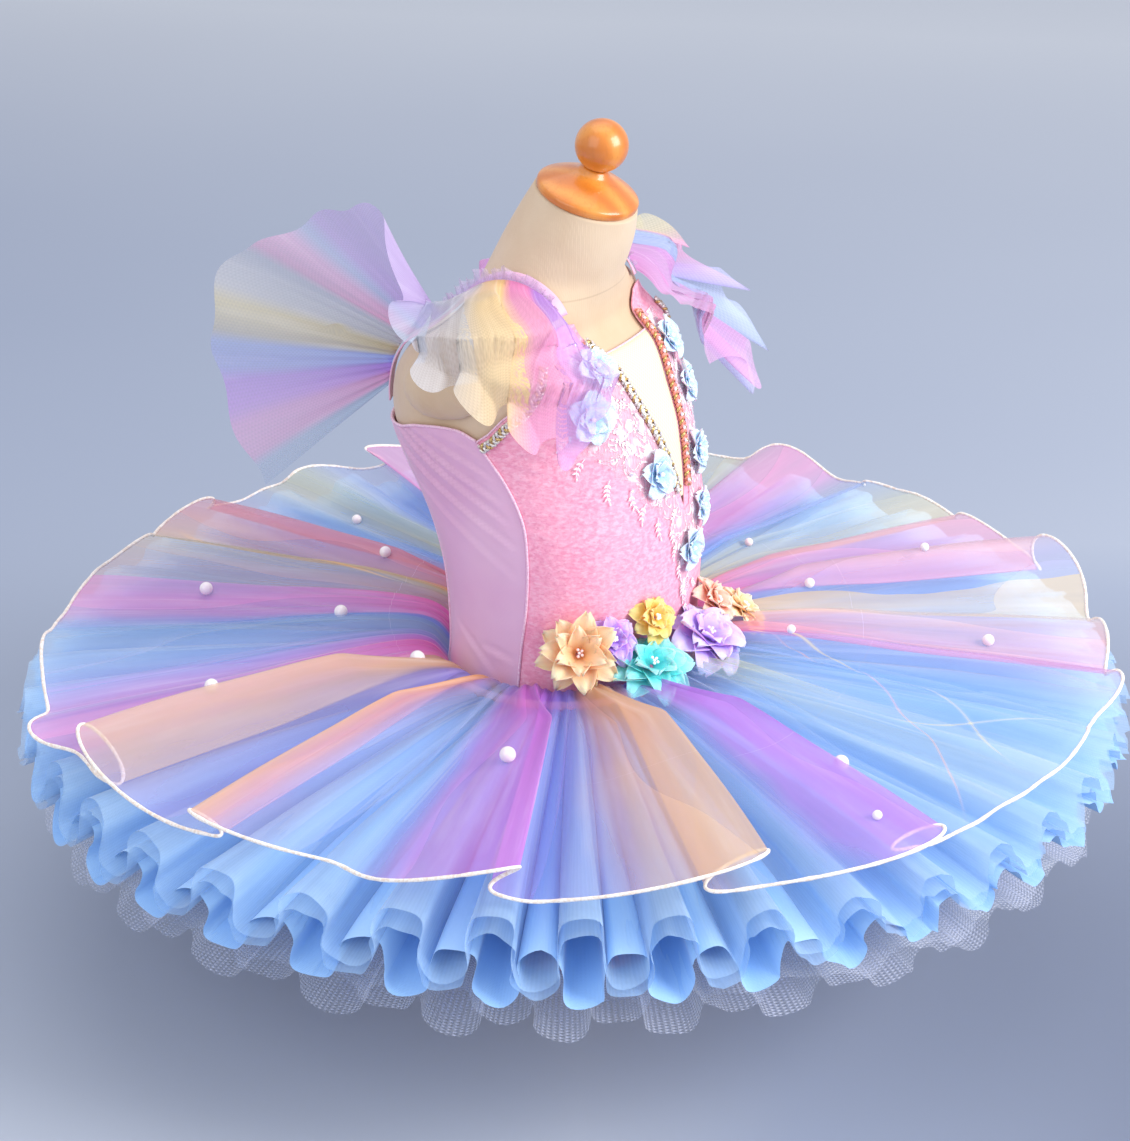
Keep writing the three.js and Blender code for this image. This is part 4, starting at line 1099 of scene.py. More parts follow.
def build_bodice():
    columns = front_columns()
    steps = np.linspace(0, len(columns) - 1, (len(columns) - 1) * 4 + 1)
    share = np.interp(steps, np.arange(len(columns)), columns[:, 0])[:, None]
    top = np.interp(steps, np.arange(len(columns)), columns[:, 1])[:, None]
    height = BASQUE_HEM + (top - BASQUE_HEM) * np.linspace(0, 1, 110)[None, :]
    front = bodice_panel("bodice_front", share * side_seam(height), height, "pink_velvet", VELVET)

    across = np.linspace(0, 1, 56)[:, None]
    for side, label in SIDES:
        share = across if side > 0 else across[::-1]
        start = side_seam(384) + SEAM_TURN
        top = read_table(BACK_EDGE, start + share * (BACK_SEAM_TURN - SEAM_TURN - start))[1]
        height = BASQUE_HEM + (top - BASQUE_HEM) * np.linspace(0, 1, 100)[None, :]
        start = side_seam(height) + SEAM_TURN
        turn = side * (start + share * (BACK_SEAM_TURN - SEAM_TURN - start))
        panel = bodice_panel(f"bodice_side_{label}", turn, height, "lilac_lycra", LYCRA)

    turn = BACK_SEAM_TURN + 2 * (180 - BACK_SEAM_TURN) * across
    top = read_table(BACK_EDGE, np.where(turn > 180, 360 - turn, turn))[1]
    height = BASQUE_HEM + (top - BASQUE_HEM) * np.linspace(0, 1, 90)[None, :]
    panel = bodice_panel("bodice_back", turn + 0 * height, height, "lilac_lycra", LYCRA)

    level = np.linspace(326, 425, 50)[None, :]
    _, middle, half_width = read_table(NECK_V, level)
    x = middle + (half_width - 0.9) * (2 * np.linspace(0, 1, 24)[:, None] - 1)
    grid = front_skin(x, level, BODICE_OUTER - 0.2)
    insert = thicken(sheet_piece("neck_net", grid), 0.8)
    worn(insert, "cream_mesh", "neck_insert", material=INSERT)


def v_edge(side, heights, beyond):
    """Turns along one edge of the V neck, a little beyond it."""
    _, middle, half_width = read_table(NECK_V, heights)
    return front_turn(middle + side * (half_width + beyond), heights)


def plait(turns, heights, width):
    """Paths of the strands of a flat plait along a line on the bodice."""
    line = skin(turns, heights, BRAID_OFF)
    length = np.concatenate([[0], np.cumsum(np.linalg.norm(np.diff(line, axis=0), axis=1))])
    place = np.linspace(0, length[-1], int(length[-1] / BRAID_PITCH * 10))
    turn = np.interp(place, length, turns)
    height = np.interp(place, length, heights)
    middle = skin(turn, height, BRAID_OFF)
    out = skin_normal(turn, height)
    ahead = unit(np.gradient(middle, axis=0))
    beside = np.cross(ahead, out)
    paths = []
    for strand in range(BRAID_STRANDS):
        phase = 2 * np.pi * (place / BRAID_PITCH + strand / BRAID_STRANDS)
        paths.append(middle + beside * (width / 2 * np.sin(phase))[:, None]
                     + out * (BRAID_LIFT * np.sin(2 * phase))[:, None])
    return paths, middle, out, beside


def lay_braid(name, strands, threads, slot):
    """Lays a braid's threads along its strands; the first stands for the solid."""
    for number, (strand, thread) in enumerate(zip(strands, threads), 1):
        cord(f"{name}_strand_{number}", [strand], BRAID_THREAD, thread, slot,
             (name,) if number == 1 else (), uneven=0.3, lump=500)


def disc_motif():
    """A sequin: a slightly cupped disc."""
    around = np.linspace(0, 2 * np.pi, 8, endpoint=False)
    rim = np.stack([np.cos(around), np.sin(around), np.full(8, 0.25)], axis=1)
    points = np.concatenate([rim, [[0, 0, 0]]])
    faces = [[8, i, (i + 1) % 8] for i in range(8)]
    return new_piece("sequin_motif", points, faces, smooth=False)


def build_trims():
    """Piping on the seams, plaited braids on the neck and armholes, and sequins along the neck braids."""
    seam_heights = np.linspace(BASQUE_HEM, 383, 90)
    seams = []
    for side in (-1, 1):
        seams.append(skin(side * (side_seam(seam_heights) + 0.1), seam_heights, BODICE_OUTER + 0.5))
        turns = np.linspace(83, BACK_SEAM_TURN, 60)
        seams.append(skin(side * turns, read_table(BACK_EDGE, turns)[1], BODICE_OUTER + 0.1))
        seams.append(skin(side * BACK_SEAM_TURN, np.linspace(BASQUE_HEM, 372, 80), BODICE_OUTER + 0.3))
    turns = np.linspace(BACK_SEAM_TURN, 360 - BACK_SEAM_TURN, 60)
    edge = read_table(BACK_EDGE, np.where(turns > 180, 360 - turns, turns))[1]
    seams.append(skin(turns, edge, BODICE_OUTER + 0.1))
    cord("seam_piping", seams, 0.95, PIPING, "piping")
    armholes = []
    heights = np.array([row[0] for row in ARMHOLE_EDGE], float)
    turns = np.array([row[1] for row in ARMHOLE_EDGE], float)
    for side in (-1, 1):
        armholes.append(skin(side * (turns + 0.2), heights + 0.3, BODICE_OUTER))
    level = np.full(30, 425.3)
    x = np.linspace(-27.5, 29.5, 30)
    armholes.append(front_skin(x, level, BODICE_OUTER - 0.6))
    cord("edge_binding", armholes, 0.7, PIPING, "piping")

    heights = np.linspace(434, 331, 60)
    sequins, outs, aims = [], [], []
    braids = (("neck_braid_right", -1, [SILVER, GOLD, SILVER], "silver_braid"),
              ("neck_braid_left", 1, [CORAL, CORAL, GOLD], "coral_braid"))
    for name, side, threads, slot in braids:
        turns = v_edge(side, heights, 2.8)
        strands, middle, out, beside = plait(turns, heights, 5.2)
        lay_braid(name, strands, threads, slot)
        for step in range(4, len(middle) - 3, 5):
            way = 1 if (step // 5) % 2 else -1
            sequins.append(middle[step] + beside[step] * 1.9 * way + out[step] * 1.3)
            outs.append(out[step] + 0.25 * way * beside[step])
            aims.append(beside[step])
    rows = np.array(ARMHOLE_EDGE[:-2], float)
    for side, label in SIDES:
        strands = plait(side * (rows[:, 1] - 1.2), rows[:, 0] - 4, 5.0)[0]
        lay_braid(f"armhole_braid_{label}", strands, [SILVER, GOLD, SILVER], "silver_braid")
    motif = disc_motif()
    sizes = np.full(len(sequins), BRAID_SEQUIN_RADIUS)
    motifs("braid_sequins", motif, sequins, outs, aims, sizes, SEQUIN, "silver_braid")
    return motif


# ------------------------------------------------------------------ straps and ruffles
STRAP = {"x": 50, "y": 25, "z": 395, "width": 13, "off": SKIN_GAP + 1.1, "start": 57.5, "end": 190.5}
RUFFLE_SEAM_OFF = STRAP["off"] + 2 * CLOTH - 0.25
RUFFLE_END = 184
RUFFLE_WAVES = 10
RUFFLE_CLEAR = 7
# Hems of the shoulder ruffles.
RUFFLE_HEMS = {
    "ruffle_right": [
        # share of the seam from front to back, x, y, z
        [0.00, -58, -44, 407],
        [0.12, -88, -42, 380],
        [0.24, -113, -22, 405],
        [0.33, -128, 0, 424],
        [0.42, -140, 25, 436],
        [0.50, -137, 48, 458],
        [0.58, -112, 70, 490],
        [0.66, -84, 106, 522],
        [0.75, -86, 160, 498],
        [0.83, -104, 205, 470],
        [0.90, -110, 211, 412],
        [0.95, -108, 200, 366],
        [1.00, -102, 180, 322],
    ],
    "ruffle_left": [
        # share of the seam from front to back, x, y, z
        [0.00, 60, -50, 400],
        [0.12, 104, -80, 384],
        [0.22, 120, -62, 382],
        [0.32, 132, -57, 408],
        [0.40, 132, -46, 432],
        [0.48, 120, -22, 452],
        [0.56, 115, 0, 472],
        [0.66, 118, 38, 448],
        [0.78, 124, 74, 418],
        [0.90, 112, 104, 386],
        [1.00, 96, 122, 346],
    ],
}


def shoulder(side, angle, off):
    """A point off the form on the strap's line, from the front over the top to the back."""
    angle = np.radians(angle)
    direction = np.stack([0 * angle, -np.cos(angle), np.sin(angle)], axis=-1)
    start = np.broadcast_to([side * STRAP["x"], STRAP["y"], STRAP["z"]], direction.shape).astype(float)
    on_form = start + direction * ray_to_form(start, direction, 140)[..., None]
    return on_form + unit(form_outward(on_form)) * off


def build_strap(side, label):
    angle = np.linspace(STRAP["start"], STRAP["end"], 90)
    low = shoulder(side, angle, STRAP["off"])
    out = unit(shoulder(side, angle, STRAP["off"] + CLOTH) - low)
    along = unit(shoulder(side, angle + 2, 1) - shoulder(side, angle - 2, 1))
    across = np.cross(along, out)
    width = np.linspace(-0.5, 0.5, 14) * STRAP["width"]
    crown = 0.25 * np.cos(np.pi * width / STRAP["width"])
    grid = ((low + out * CLOTH)[:, None] + across[:, None] * width[None, :, None]
            + out[:, None] * crown[None, :, None])
    strap = thicken(sheet_piece(f"strap_band_{label}", grid, flip=True), 1.1)
    worn(strap, "lilac_lycra", f"strap_{label}", material=LYCRA)


def build_ruffle(side, label):
    """The fan of gathered net round the shoulder: loops in front, a smooth wing behind."""
    name = f"ruffle_{label}"
    share = np.linspace(0, 1, 640)
    reach = np.concatenate([[0], np.linspace(0.02, 1, 40)])
    angle = STRAP["start"] + 1 + (RUFFLE_END - STRAP["start"]) * share
    seam = shoulder(side, angle, RUFFLE_SEAM_OFF)
    hem = np.moveaxis(read_table(RUFFLE_HEMS[name], share)[1:], 0, -1)
    fan = hem - seam
    ahead = shoulder(side, angle + 2, 1) - shoulder(side, angle - 2, 1)
    out = unit(np.cross(ahead, fan))
    beside = unit(np.gradient(hem, axis=0))
    phase = 2 * np.pi * RUFFLE_WAVES * share[:, None]
    front = bell((share[:, None] - 0.3) / 0.36)
    wave = (1.2 + 10 * reach * (0.35 + front)) * np.sin(phase)
    fine = 0.7 * (1 - reach) ** 2 * np.sin(phase * 6.3)
    flutter = 2.6 * reach**3 * np.sin(phase * 0.73 + 4 * reach)
    curl = -5.5 * front * reach**1.4 * np.sin(2 * phase)
    points = (seam[:, None] + fan[:, None] * reach[None, :, None]
              + out[:, None] * (wave + fine + flutter)[..., None] + beside[:, None] * curl[..., None])
    swing = 19 * front * reach**1.5 * np.sin(phase + 0.4) + 2 * reach**4 * np.sin(phase * 1.7)
    points += unit(fan)[:, None] * swing[..., None]
    clear = RUFFLE_SEAM_OFF + (RUFFLE_CLEAR + ARM_PLATE["bulge"]) * np.minimum(1, 3 * reach)
    points = clear_of_form(points, np.broadcast_to(clear, points.shape[:2]))
    points[:, 0] = seam
    piece = sheet_piece(f"gathered_{name}", points, flip=side > 0)
    worn(piece, "rainbow_tulle", name, material=ruffle_finish(label))


def build_frill(side, label):
    """The short second gather on the neck side of the strap."""
    share = np.linspace(0, 1, 420)[:, None]
    reach = np.linspace(0, 1, 9)[None, :]
    angle = STRAP["start"] + 3 + (RUFFLE_END - 6 - STRAP["start"]) * share[:, 0]
    seam = shoulder(side, angle, RUFFLE_SEAM_OFF + 0.4)
    ahead = unit(shoulder(side, angle + 2, 1) - shoulder(side, angle - 2, 1))
    out = unit(shoulder(side, angle, RUFFLE_SEAM_OFF + 1) - shoulder(side, angle, RUFFLE_SEAM_OFF))
    inward = np.cross(ahead, out)
    inward *= np.sign(-side * inward[:, :1])
    width = 8 * np.sin(np.pi * np.clip(share * 1.06 - 0.03, 0, 1)) ** 0.3 * (1 + 0.25 * np.sin(61 * share))
    wave = 2.6 * np.sin(2 * np.pi * 27 * share + 2 * np.sin(11 * share)) * reach
    points = (seam[:, None] + inward[:, None] * (width * reach * 0.8)[..., None]
              + out[:, None] * (width * reach * 0.55 + wave)[..., None]
              + ahead[:, None] * (-1.2 * np.sin(4 * np.pi * 27 * share) * reach)[..., None])
    frill = sheet_piece(f"strap_frill_{label}", points, flip=side > 0)
    worn(frill, "rainbow_tulle", material=FRILL)


# ------------------------------------------------------------------ skirt
# How each layer stands off the waist.
OVERLAY_RISE = [
    # out, rise
    [0, 0], [10, 12], [25, 17], [60, 17.5], [110, 14], [150, 10], [230, 5], [285, 1],
]
TULLE_RISE = [
    # out, rise
    [0, -7], [15, -4], [60, -4], [150, -10], [230, -18], [290, -27],
]
NET_RISE = [
    # out, rise
    [0, -25], [60, -30], [150, -43], [230, -57], [285, -70],
]
# Folds of the overlay: where the crest lies, which rolls over to one side and
# rests on the cloth beside it from the waist to the hem.
OVERLAY_FOLDS = [
    # crest angle, half width, height, overhang, reach
    [-156, 6.4, 38, 9.6, 2],
    [-132, 7.0, 36, 14, 0],
    [-113, 7.0, 18, 13, 8],
    [-97, 7.0, 8, 0, 3],
    [-85, 6.0, 8, 3, 2],
    [-71, 5.0, 13, 4, 12],
    [-58, 6.0, 12, 3, 4],
    [-49, 5.5, 12, 0, 3],
    [-38, 6.0, 24, 9, 5],
    [-25.4, 5.5, 16, 4, -6],
    [-18, 5.0, 14, 3, -9],
    [-11, 6.0, 18, 4, -12],
    [4, 7.0, 20, 3, 14],
    [18, 8.0, 13, 0, 12],
    [33, 7.0, 12, 0, 4],
    [56, 6.0, 26, 9, 0],
    [66, 6.0, 22, 3, -8],
    [79, 5.0, 26, -5, -8],
    [91, 6.0, 14, -3, -6],
    [104, 7.0, 10, 0, -4],
    [122, 7.0, 12, 0, 2],
    [142, 6.0, 8, 0, 22],
    [147, 6.0, 38, -16, 0],
    [168.5, 6.0, 30, -10, 6],
    [-176, 6.0, 7, 0, -8],
]
# Pearls sewn on the overlay.
PEARLS = [
    # angle, distance from the waist's centre, size
    [155, 126, 1], [143, 259, 0.9], [117, 157, 0.9], [83, 163, 0.8], [69, 245, 0.7], [107, 262, 0.9],
    [-161, 227, 1], [-112, 261, 1], [-118, 330, 0.6], [-17, 173, 0.6], [-47, 167, 0.7],
    [-40, 263, 0.6], [-65, 278, 0.8], [-73, 149, 0.6], [56, 172, 0.9], [44, 232, 0.9],
]
PEARL_RADIUS = 5.2


def steepness(grid):
    """How far each point's cloth is from lying flat, 0 to 1."""
    around = np.roll(grid, -1, axis=0) - np.roll(grid, 1, axis=0)
    normal = unit(np.cross(around, np.gradient(grid, axis=1)))
    return 1 - np.abs(normal[..., 2])


def overlay_points(angle, reach):
    """The organza at angles in degrees and reaches from the waist to the hem."""
    radians = np.radians(angle)
    inner = waist_radius(radians, WAIST - 2) + 4.0
    edge = np.full(np.broadcast(angle, reach).shape, float(OVERLAY_REACH))
    height, shift = np.zeros(edge.shape), np.zeros(edge.shape)
    rolled = np.clip(reach / 0.3, 0, 1) ** 1.5
    for crest, half_width, rise, overhang, extra in OVERLAY_FOLDS:
        beside = ((angle - crest + overhang + 540) % 360 - 180) / half_width
        bump = bell(beside)
        height += rise * bump * (reach**0.8 * (1 - 0.35 * reach))
        shift += overhang * bump * rolled
        turn_out = np.sin(np.pi * np.clip(beside, -1, 1)) * np.sign(overhang)
        edge += extra * bump - 0.9 * abs(overhang) * turn_out * reach**2
    radius = inner + (edge - inner) * reach
    rise = read_table(OVERLAY_RISE, 285 * reach)[1]
    gathers = (1.3 * (1 - reach) ** 1.5 + 0.3) * np.sin(90 * radians + 3 * np.sin(4 * radians))
    gathers += 1.6 * np.sin(31 * radians + 2 * np.sin(5 * radians) + 2 * reach) * reach
    gathers += 1.0 * np.sin(47 * radians + 3 * np.sin(3 * radians) - 3 * reach) * reach**0.5
    gathers *= np.minimum(1, reach * 12)
    turned = radians + np.radians(shift)
    z = WAIST + rise + height + gathers
    grid = np.stack([radius * np.cos(turned), SKIRT_CENTRE_Y + radius * np.sin(turned), z], axis=-1)
    # The turns of the folds are rounded off towards the hem.
    for _ in range(24):
        eased = (np.roll(grid, 1, axis=0) + 2 * grid + np.roll(grid, -1, axis=0)) / 4
        grid = grid + (eased - grid) * reach[..., None] ** 2
    return grid


def build_overlay():
    angle = np.linspace(-180, 180, 1080, endpoint=False)[:, None]
    reach = np.concatenate([np.linspace(0, 0.14, 14)[:-1], np.linspace(0.14, 1, 46)])[None, :]
    grid = overlay_points(angle, reach)
    piece = sheet_piece("organza_overlay", grid, wrapped=True, flip=True, steep=steepness(grid))
    worn(piece, "organza", "skirt_overlay", material=ORGANZA)
    hem = cord("overlay_hem_cord", [grid[:, -1]], 1.2, HEM_THREAD, "hem_cord", closed=True,
               uneven=0.9, lump=130)
    seats = []
    for place, distance, size in PEARLS:
        # The cloth is laid in folds, so the nearest point of it carries the pearl.
        direction = np.radians(place)
        wanted = np.array([distance * np.cos(direction), SKIRT_CENTRE_Y + distance * np.sin(direction)])
        off = np.linalg.norm(grid[..., :2] - wanted, axis=-1) - 0.2 * grid[..., 2]
        seats.append(grid[np.unravel_index(off.argmin(), off.shape)] + [0, 0, PEARL_RADIUS * 0.85 * size])
    pearls = beads("overlay_pearls", seats, PEARL_RADIUS, PEARL, [row[2] for row in PEARLS])


# Layers of gathered net under the overlay, from the top down.
NET_LAYERS = [
    # name, node, finish, then the gathers' sizes
    ["blue_tulle_1", "skirt_tulle", BLUE_TULLE, 40, TULLE_REACH, 17, 4, 0, 170, 0.9, 5, 6.5, 0, 0.0],
    ["blue_tulle_2", None, DEEP_TULLE, 40, TULLE_REACH - 1, 14, 4, 10, 190, 1.1, 9, 6.0, 0.5, 2.3],
    ["blue_tulle_3", None, UNDER_TULLE, 41, TULLE_REACH - 3, 12, 5, 20, 150, 1.1, 9, 5.5, 0.8, 4.1],
    ["pale_net_1", "skirt_net", PALE_NET, 30, NET_REACH, 6, 3, 0, 110, 0.9, 4, 4.0, 0, 0.7],
    ["pale_net_2", None, PALE_NET, 31, NET_REACH - 3, 9, 4, 9, 90, 0.9, 4, 6.0, 0.6, 3.7],
]


def build_net_layers():
    columns = 1440
    radians = np.linspace(-np.pi, np.pi, columns, endpoint=False)[:, None]
    reach = np.concatenate([np.linspace(0, 0.6, 7)[:-1], np.linspace(0.6, 1, 14)])[None, :]
    for name, node, finish, *sizes in NET_LAYERS:
        blue = name.startswith("blue")
        rise = TULLE_RISE if blue else NET_RISE
        base = read_table(rise, rise[-1][0] * reach)[1] + 0 * radians
        waist = waist_radius(radians[:, 0], WAIST + rise[0][1] - 4)[:, None] + 3.3 + 0 * reach
        flat = np.stack([np.cos(radians) * reach, np.sin(radians) * reach, base * 0], axis=-1)
        piece = sheet_piece(name, flat, wrapped=True, flip=True, angle=radians + 0 * reach,
                            reach=reach + 0 * radians, waist=waist, base=base)
        sizes = {key: float(size) for key, size in zip(GATHER_SIZES, sizes)}
        GATHERS.grow(piece, Material=finish, **sizes)
        points = np.empty(len(piece.data.vertices) * 3)
        piece.data.vertices.foreach_get("co", points)
        steep = steepness(points.reshape(columns, -1, 3))
        for spent in ("angle", "reach", "waist", "base"):
            piece.data.attributes.remove(piece.data.attributes[spent])
        hold(piece.data, "steep", steep.ravel())
        worn(piece, "blue_tulle" if blue else "pale_net", *([node] if node else []))


# ------------------------------------------------------------------ flowers
def petal_grid(length, width, cup, curl, point, ruffle):
    """A petal from its foot at the origin along +X, cupped, with a round or pointed tip."""
    u = np.linspace(-1, 1, 9)[:, None]
    v = np.linspace(0, 1, 9)[None, :]
    outline = np.sin(np.pi * (0.02 + 0.96 * v) ** 0.8) ** (0.42 + 0.5 * point)
    half = width / 2 * (0.2 * (1 - v) + outline)
    notch = (1 - point) * 0.07 * length * np.exp(-(u * 3) ** 2) * v**6
    x = length * (v - 0.05 * np.abs(u) ** 1.5 * v) - notch
    y = half * u
    z = cup * length * v**1.6 - curl * length * v**3.5 + 0.2 * width * u**2 * np.sin(np.pi * v)
    z = z + ruffle * np.sin(u * 5 + v * 3) * v**2
    return np.stack([x + 0 * u, y, z], axis=-1)


# How a flower's petals stand: count, length and width as shares of its radius,
# rise of the petal in degrees, cupping, curl at the tip, pointedness, twist.
FLOWER_STYLES = {
    "open": [
        [8, 1.12, 0.74, -6, 0.05, 0.10, 0.3, 0], [7, 0.92, 0.62, 8, 0.08, 0.10, 0.3, 24],
        [6, 0.62, 0.46, 30, 0.10, 0.06, 0.3, 10],
    ],
    "round": [
        [7, 1.10, 0.82, -6, 0.08, 0.12, 0.0, 0], [6, 0.90, 0.74, 14, 0.10, 0.10, 0.0, 30],
        [5, 0.60, 0.56, 38, 0.12, 0.06, 0.0, 12],
    ],
    "tulip": [
        [7, 1.06, 0.66, 30, 0.08, 0.16, 0.1, 0], [6, 0.95, 0.56, 50, 0.06, 0.08, 0.1, 30],
        [8, 1.04, 0.60, 2, 0.06, 0.14, 0.2, 15],
    ],
    "small": [
        [5, 1.05, 1.00, 4, 0.08, 0.08, 0.0, 0], [5, 0.64, 0.66, 28, 0.10, 0.04, 0.0, 36],
    ],
}


# A direction that no flower faces; its sideways is taken from it.
SKEW = [0.31, 0.2, 0.93]
# How much lower the belt's flowers on the wearer's left sit.
LEFT_FLOWER_DROP = 9.5


def build_flower(name, centre, facing, radius, style, finish, slot, node, spin=0.0):
    """A many-petalled cloth flower that faces a direction."""
    facing = unit(np.asarray(facing, float))
    across = unit(np.cross(facing, SKEW))
    beside = np.cross(facing, across)
    rng = np.random.default_rng(len(name) * 7 + int(radius * 10))
    points, faces, uvs = [], [], []
    for count, long, wide, rise, cup, curl, point, twist in FLOWER_STYLES[style]:
        for k in range(count):
            grow = 1 + rng.uniform(-0.09, 0.09)
            petal = petal_grid(radius * long * grow, radius * wide * grow, cup,
                               curl + rng.uniform(-0.05, 0.06), point, ruffle=0.07 * radius)
            lean = math.radians(rise + rng.uniform(-7, 7))
            spun = math.radians(spin + twist + 360 * k / count + rng.uniform(-7, 7))
            x = petal[..., 0] * math.cos(lean) - petal[..., 2] * math.sin(lean) + radius * 0.05
            z = petal[..., 0] * math.sin(lean) + petal[..., 2] * math.cos(lean)
            flat_x = x * math.cos(spun) - petal[..., 1] * math.sin(spun)
            flat_y = x * math.sin(spun) + petal[..., 1] * math.cos(spun)
            placed = centre + flat_x[..., None] * across + flat_y[..., None] * beside + z[..., None] * facing
            quads, uv = grid_faces(*petal.shape[:2], False)
            faces += (quads + sum(len(p) for p in points)).tolist()
            uvs.append(uv)
            points.append(placed.reshape(-1, 3))
    piece = new_piece(name, np.concatenate(points), faces, np.concatenate(uvs))
    thicken(piece, 0.25)
    worn(piece, slot, node, material=finish)


PETAL_DYES = {
    "peach": ["#fb9a55", "#fec292", "#ffe0bc"],
    "purple": ["#a264e2", "#c692f2", "#e2c4fc"],
    "turquoise": ["#22b8be", "#52d8d8", "#b0f6f2"],
    "yellow": ["#f6ab34", "#fcc75c", "#fee09a"],
    "lilac": ["#b27cec", "#d2a8f8", "#eed8fe"],
    "coral": ["#ff8a6c", "#ffb096", "#ffdccb"],
    "apricot": ["#ffa95c", "#ffcd96", "#ffebcf"],
    "sky": ["#a9cdf0", "#c6e0f8", "#ecf6fd"],
}
BELT_FLOWERS = [
    # node, turn, height, off, lift, radius, style, dye, spin
    ["belt_flower_peach", -58, 249, 21, 0.75, 26, "tulip", "peach", 0],
    ["belt_flower_purple_small", -43, 254, 16, 0.75, 16, "round", "purple", 15],
    ["belt_flower_turquoise", -30, 239, 28, 1.7, 27, "open", "turquoise", 8],
    ["belt_flower_yellow", -22, 260, 14, 0.6, 16, "round", "yellow", 30],
    ["belt_flower_lilac", 0, 240, 28, 1.6, 27, "round", "lilac", 5],
    ["belt_flower_coral", 18, 255, 20, 0.75, 18, "round", "coral", 20],
    ["belt_flower_apricot", 32, 241, 36, 1.2, 21, "open", "apricot", 12],
]
NECK_FLOWERS = [
    # x, height, radius
    [-44, 421, 11],
    [-62, 395, 13],
    [-22, 349, 12],
    [7, 290, 11],
    [46, 415, 11],
    [50, 385, 11],
    [36, 345, 12],
    [27, 312, 10],
]


def build_flowers():
    dyes = {key: petal_finish(f"petal_{key}", *shades) for key, shades in PETAL_DYES.items()}
    hearts, sizes = [], []
    for node, turn, height, off, lift, radius, style, colour, spin in BELT_FLOWERS:
        out = skin_normal(turn, height)
        facing = out + np.array([0, 0, lift])
        centre = skin(turn, height, off) - unit(facing) * radius * 0.3
        centre -= [0, 0, LEFT_FLOWER_DROP * (turn > 10)]
        slot = f"petal_{colour}"
        build_flower(f"{node}_petals", centre, facing, radius, style, dyes[colour], slot, node, spin)
        for k in range(5):
            angle = 2 * math.pi * k / 5
            ring = unit(np.cross(unit(facing), SKEW))
            side = np.cross(unit(facing), ring)
            spread = radius * 0.09 * (k > 0)
            hearts.append(centre + unit(facing) * radius * 0.24
                          + (ring * math.cos(angle) + side * math.sin(angle)) * spread)
            sizes.append(1.0)
    for number, (x, height, radius) in enumerate(NECK_FLOWERS, 1):
        turn = front_turn(x, height)
        out = skin_normal(turn, height)
        centre = skin(turn, height, BODICE_OUTER + 2.6)
        node = f"neck_flower_{number}"
        build_flower(f"{node}_petals", centre, out, radius * 1.3, "small", dyes["sky"], "pale_blue_flower",
                     node, number * 23)
        hearts.append(centre + out * radius * 0.3)
        sizes.append(1.5)
    beads("flower_hearts", hearts, 1.1, PEARL, sizes, rounds=2)


# ------------------------------------------------------------------ lace
# Outer edge of the lace on either side of the V.
LACE_EDGE = [
    # height, distance from the middle of the V
    [250, 3], [268, 8], [285, 13], [318, 27], [333, 41], [354, 57], [375, 74], [400, 70], [430, 60],
]
SPRAY_SCALE = 0.62
LACE_SPRAYS = [
    # x, height, heading in degrees, length, leaves
    [-72, 388, 200, 20, 4], [-70, 372, 225, 20, 4], [-58, 356, 240, 24, 5], [-46, 345, 262, 22, 4],
    [-36, 334, 225, 20, 4], [-27, 322, 250, 22, 4], [-16, 312, 268, 20, 4], [-10, 300, 235, 18, 4],
    [-6, 285, 262, 22, 4], [1, 268, 250, 18, 4], [5, 252, 275, 18, 4], [-50, 405, 170, 18, 4],
    [-34, 372, 190, 22, 4], [-30, 395, 150, 18, 4], [-18, 338, 210, 16, 4], [-48, 380, 300, 18, 4],
    [-6, 322, 205, 18, 4], [9, 306, 270, 14, 4],
    [80, 388, -20, 20, 4], [78, 372, -45, 20, 4], [67, 356, -60, 22, 5], [54, 345, -80, 22, 4],
    [45, 334, -45, 20, 4], [36, 322, -70, 22, 4], [26, 312, -88, 20, 4], [20, 300, -55, 18, 4],
    [17, 285, -80, 18, 4], [14, 266, -70, 18, 4], [58, 405, 10, 18, 4], [43, 372, -10, 22, 4],
    [38, 395, 30, 18, 4], [27, 338, -30, 16, 4], [56, 380, -120, 18, 4],
]


def leaf_motif():
    """One embroidered leaf, 5 mm long, pointed and domed."""
    u = np.linspace(0, 1, 7)
    half = 1.15 * np.sin(np.pi * u**0.8)
    x = 5.2 * u
    rows = np.array([-1, -0.5, 0, 0.5, 1])
    grid = np.stack([x[:, None] + 0 * rows, half[:, None] * rows,
                     0.5 * (1 - rows**2) * np.sin(np.pi * u)[:, None]], axis=-1)
    return sheet_piece("leaf_motif", grid)


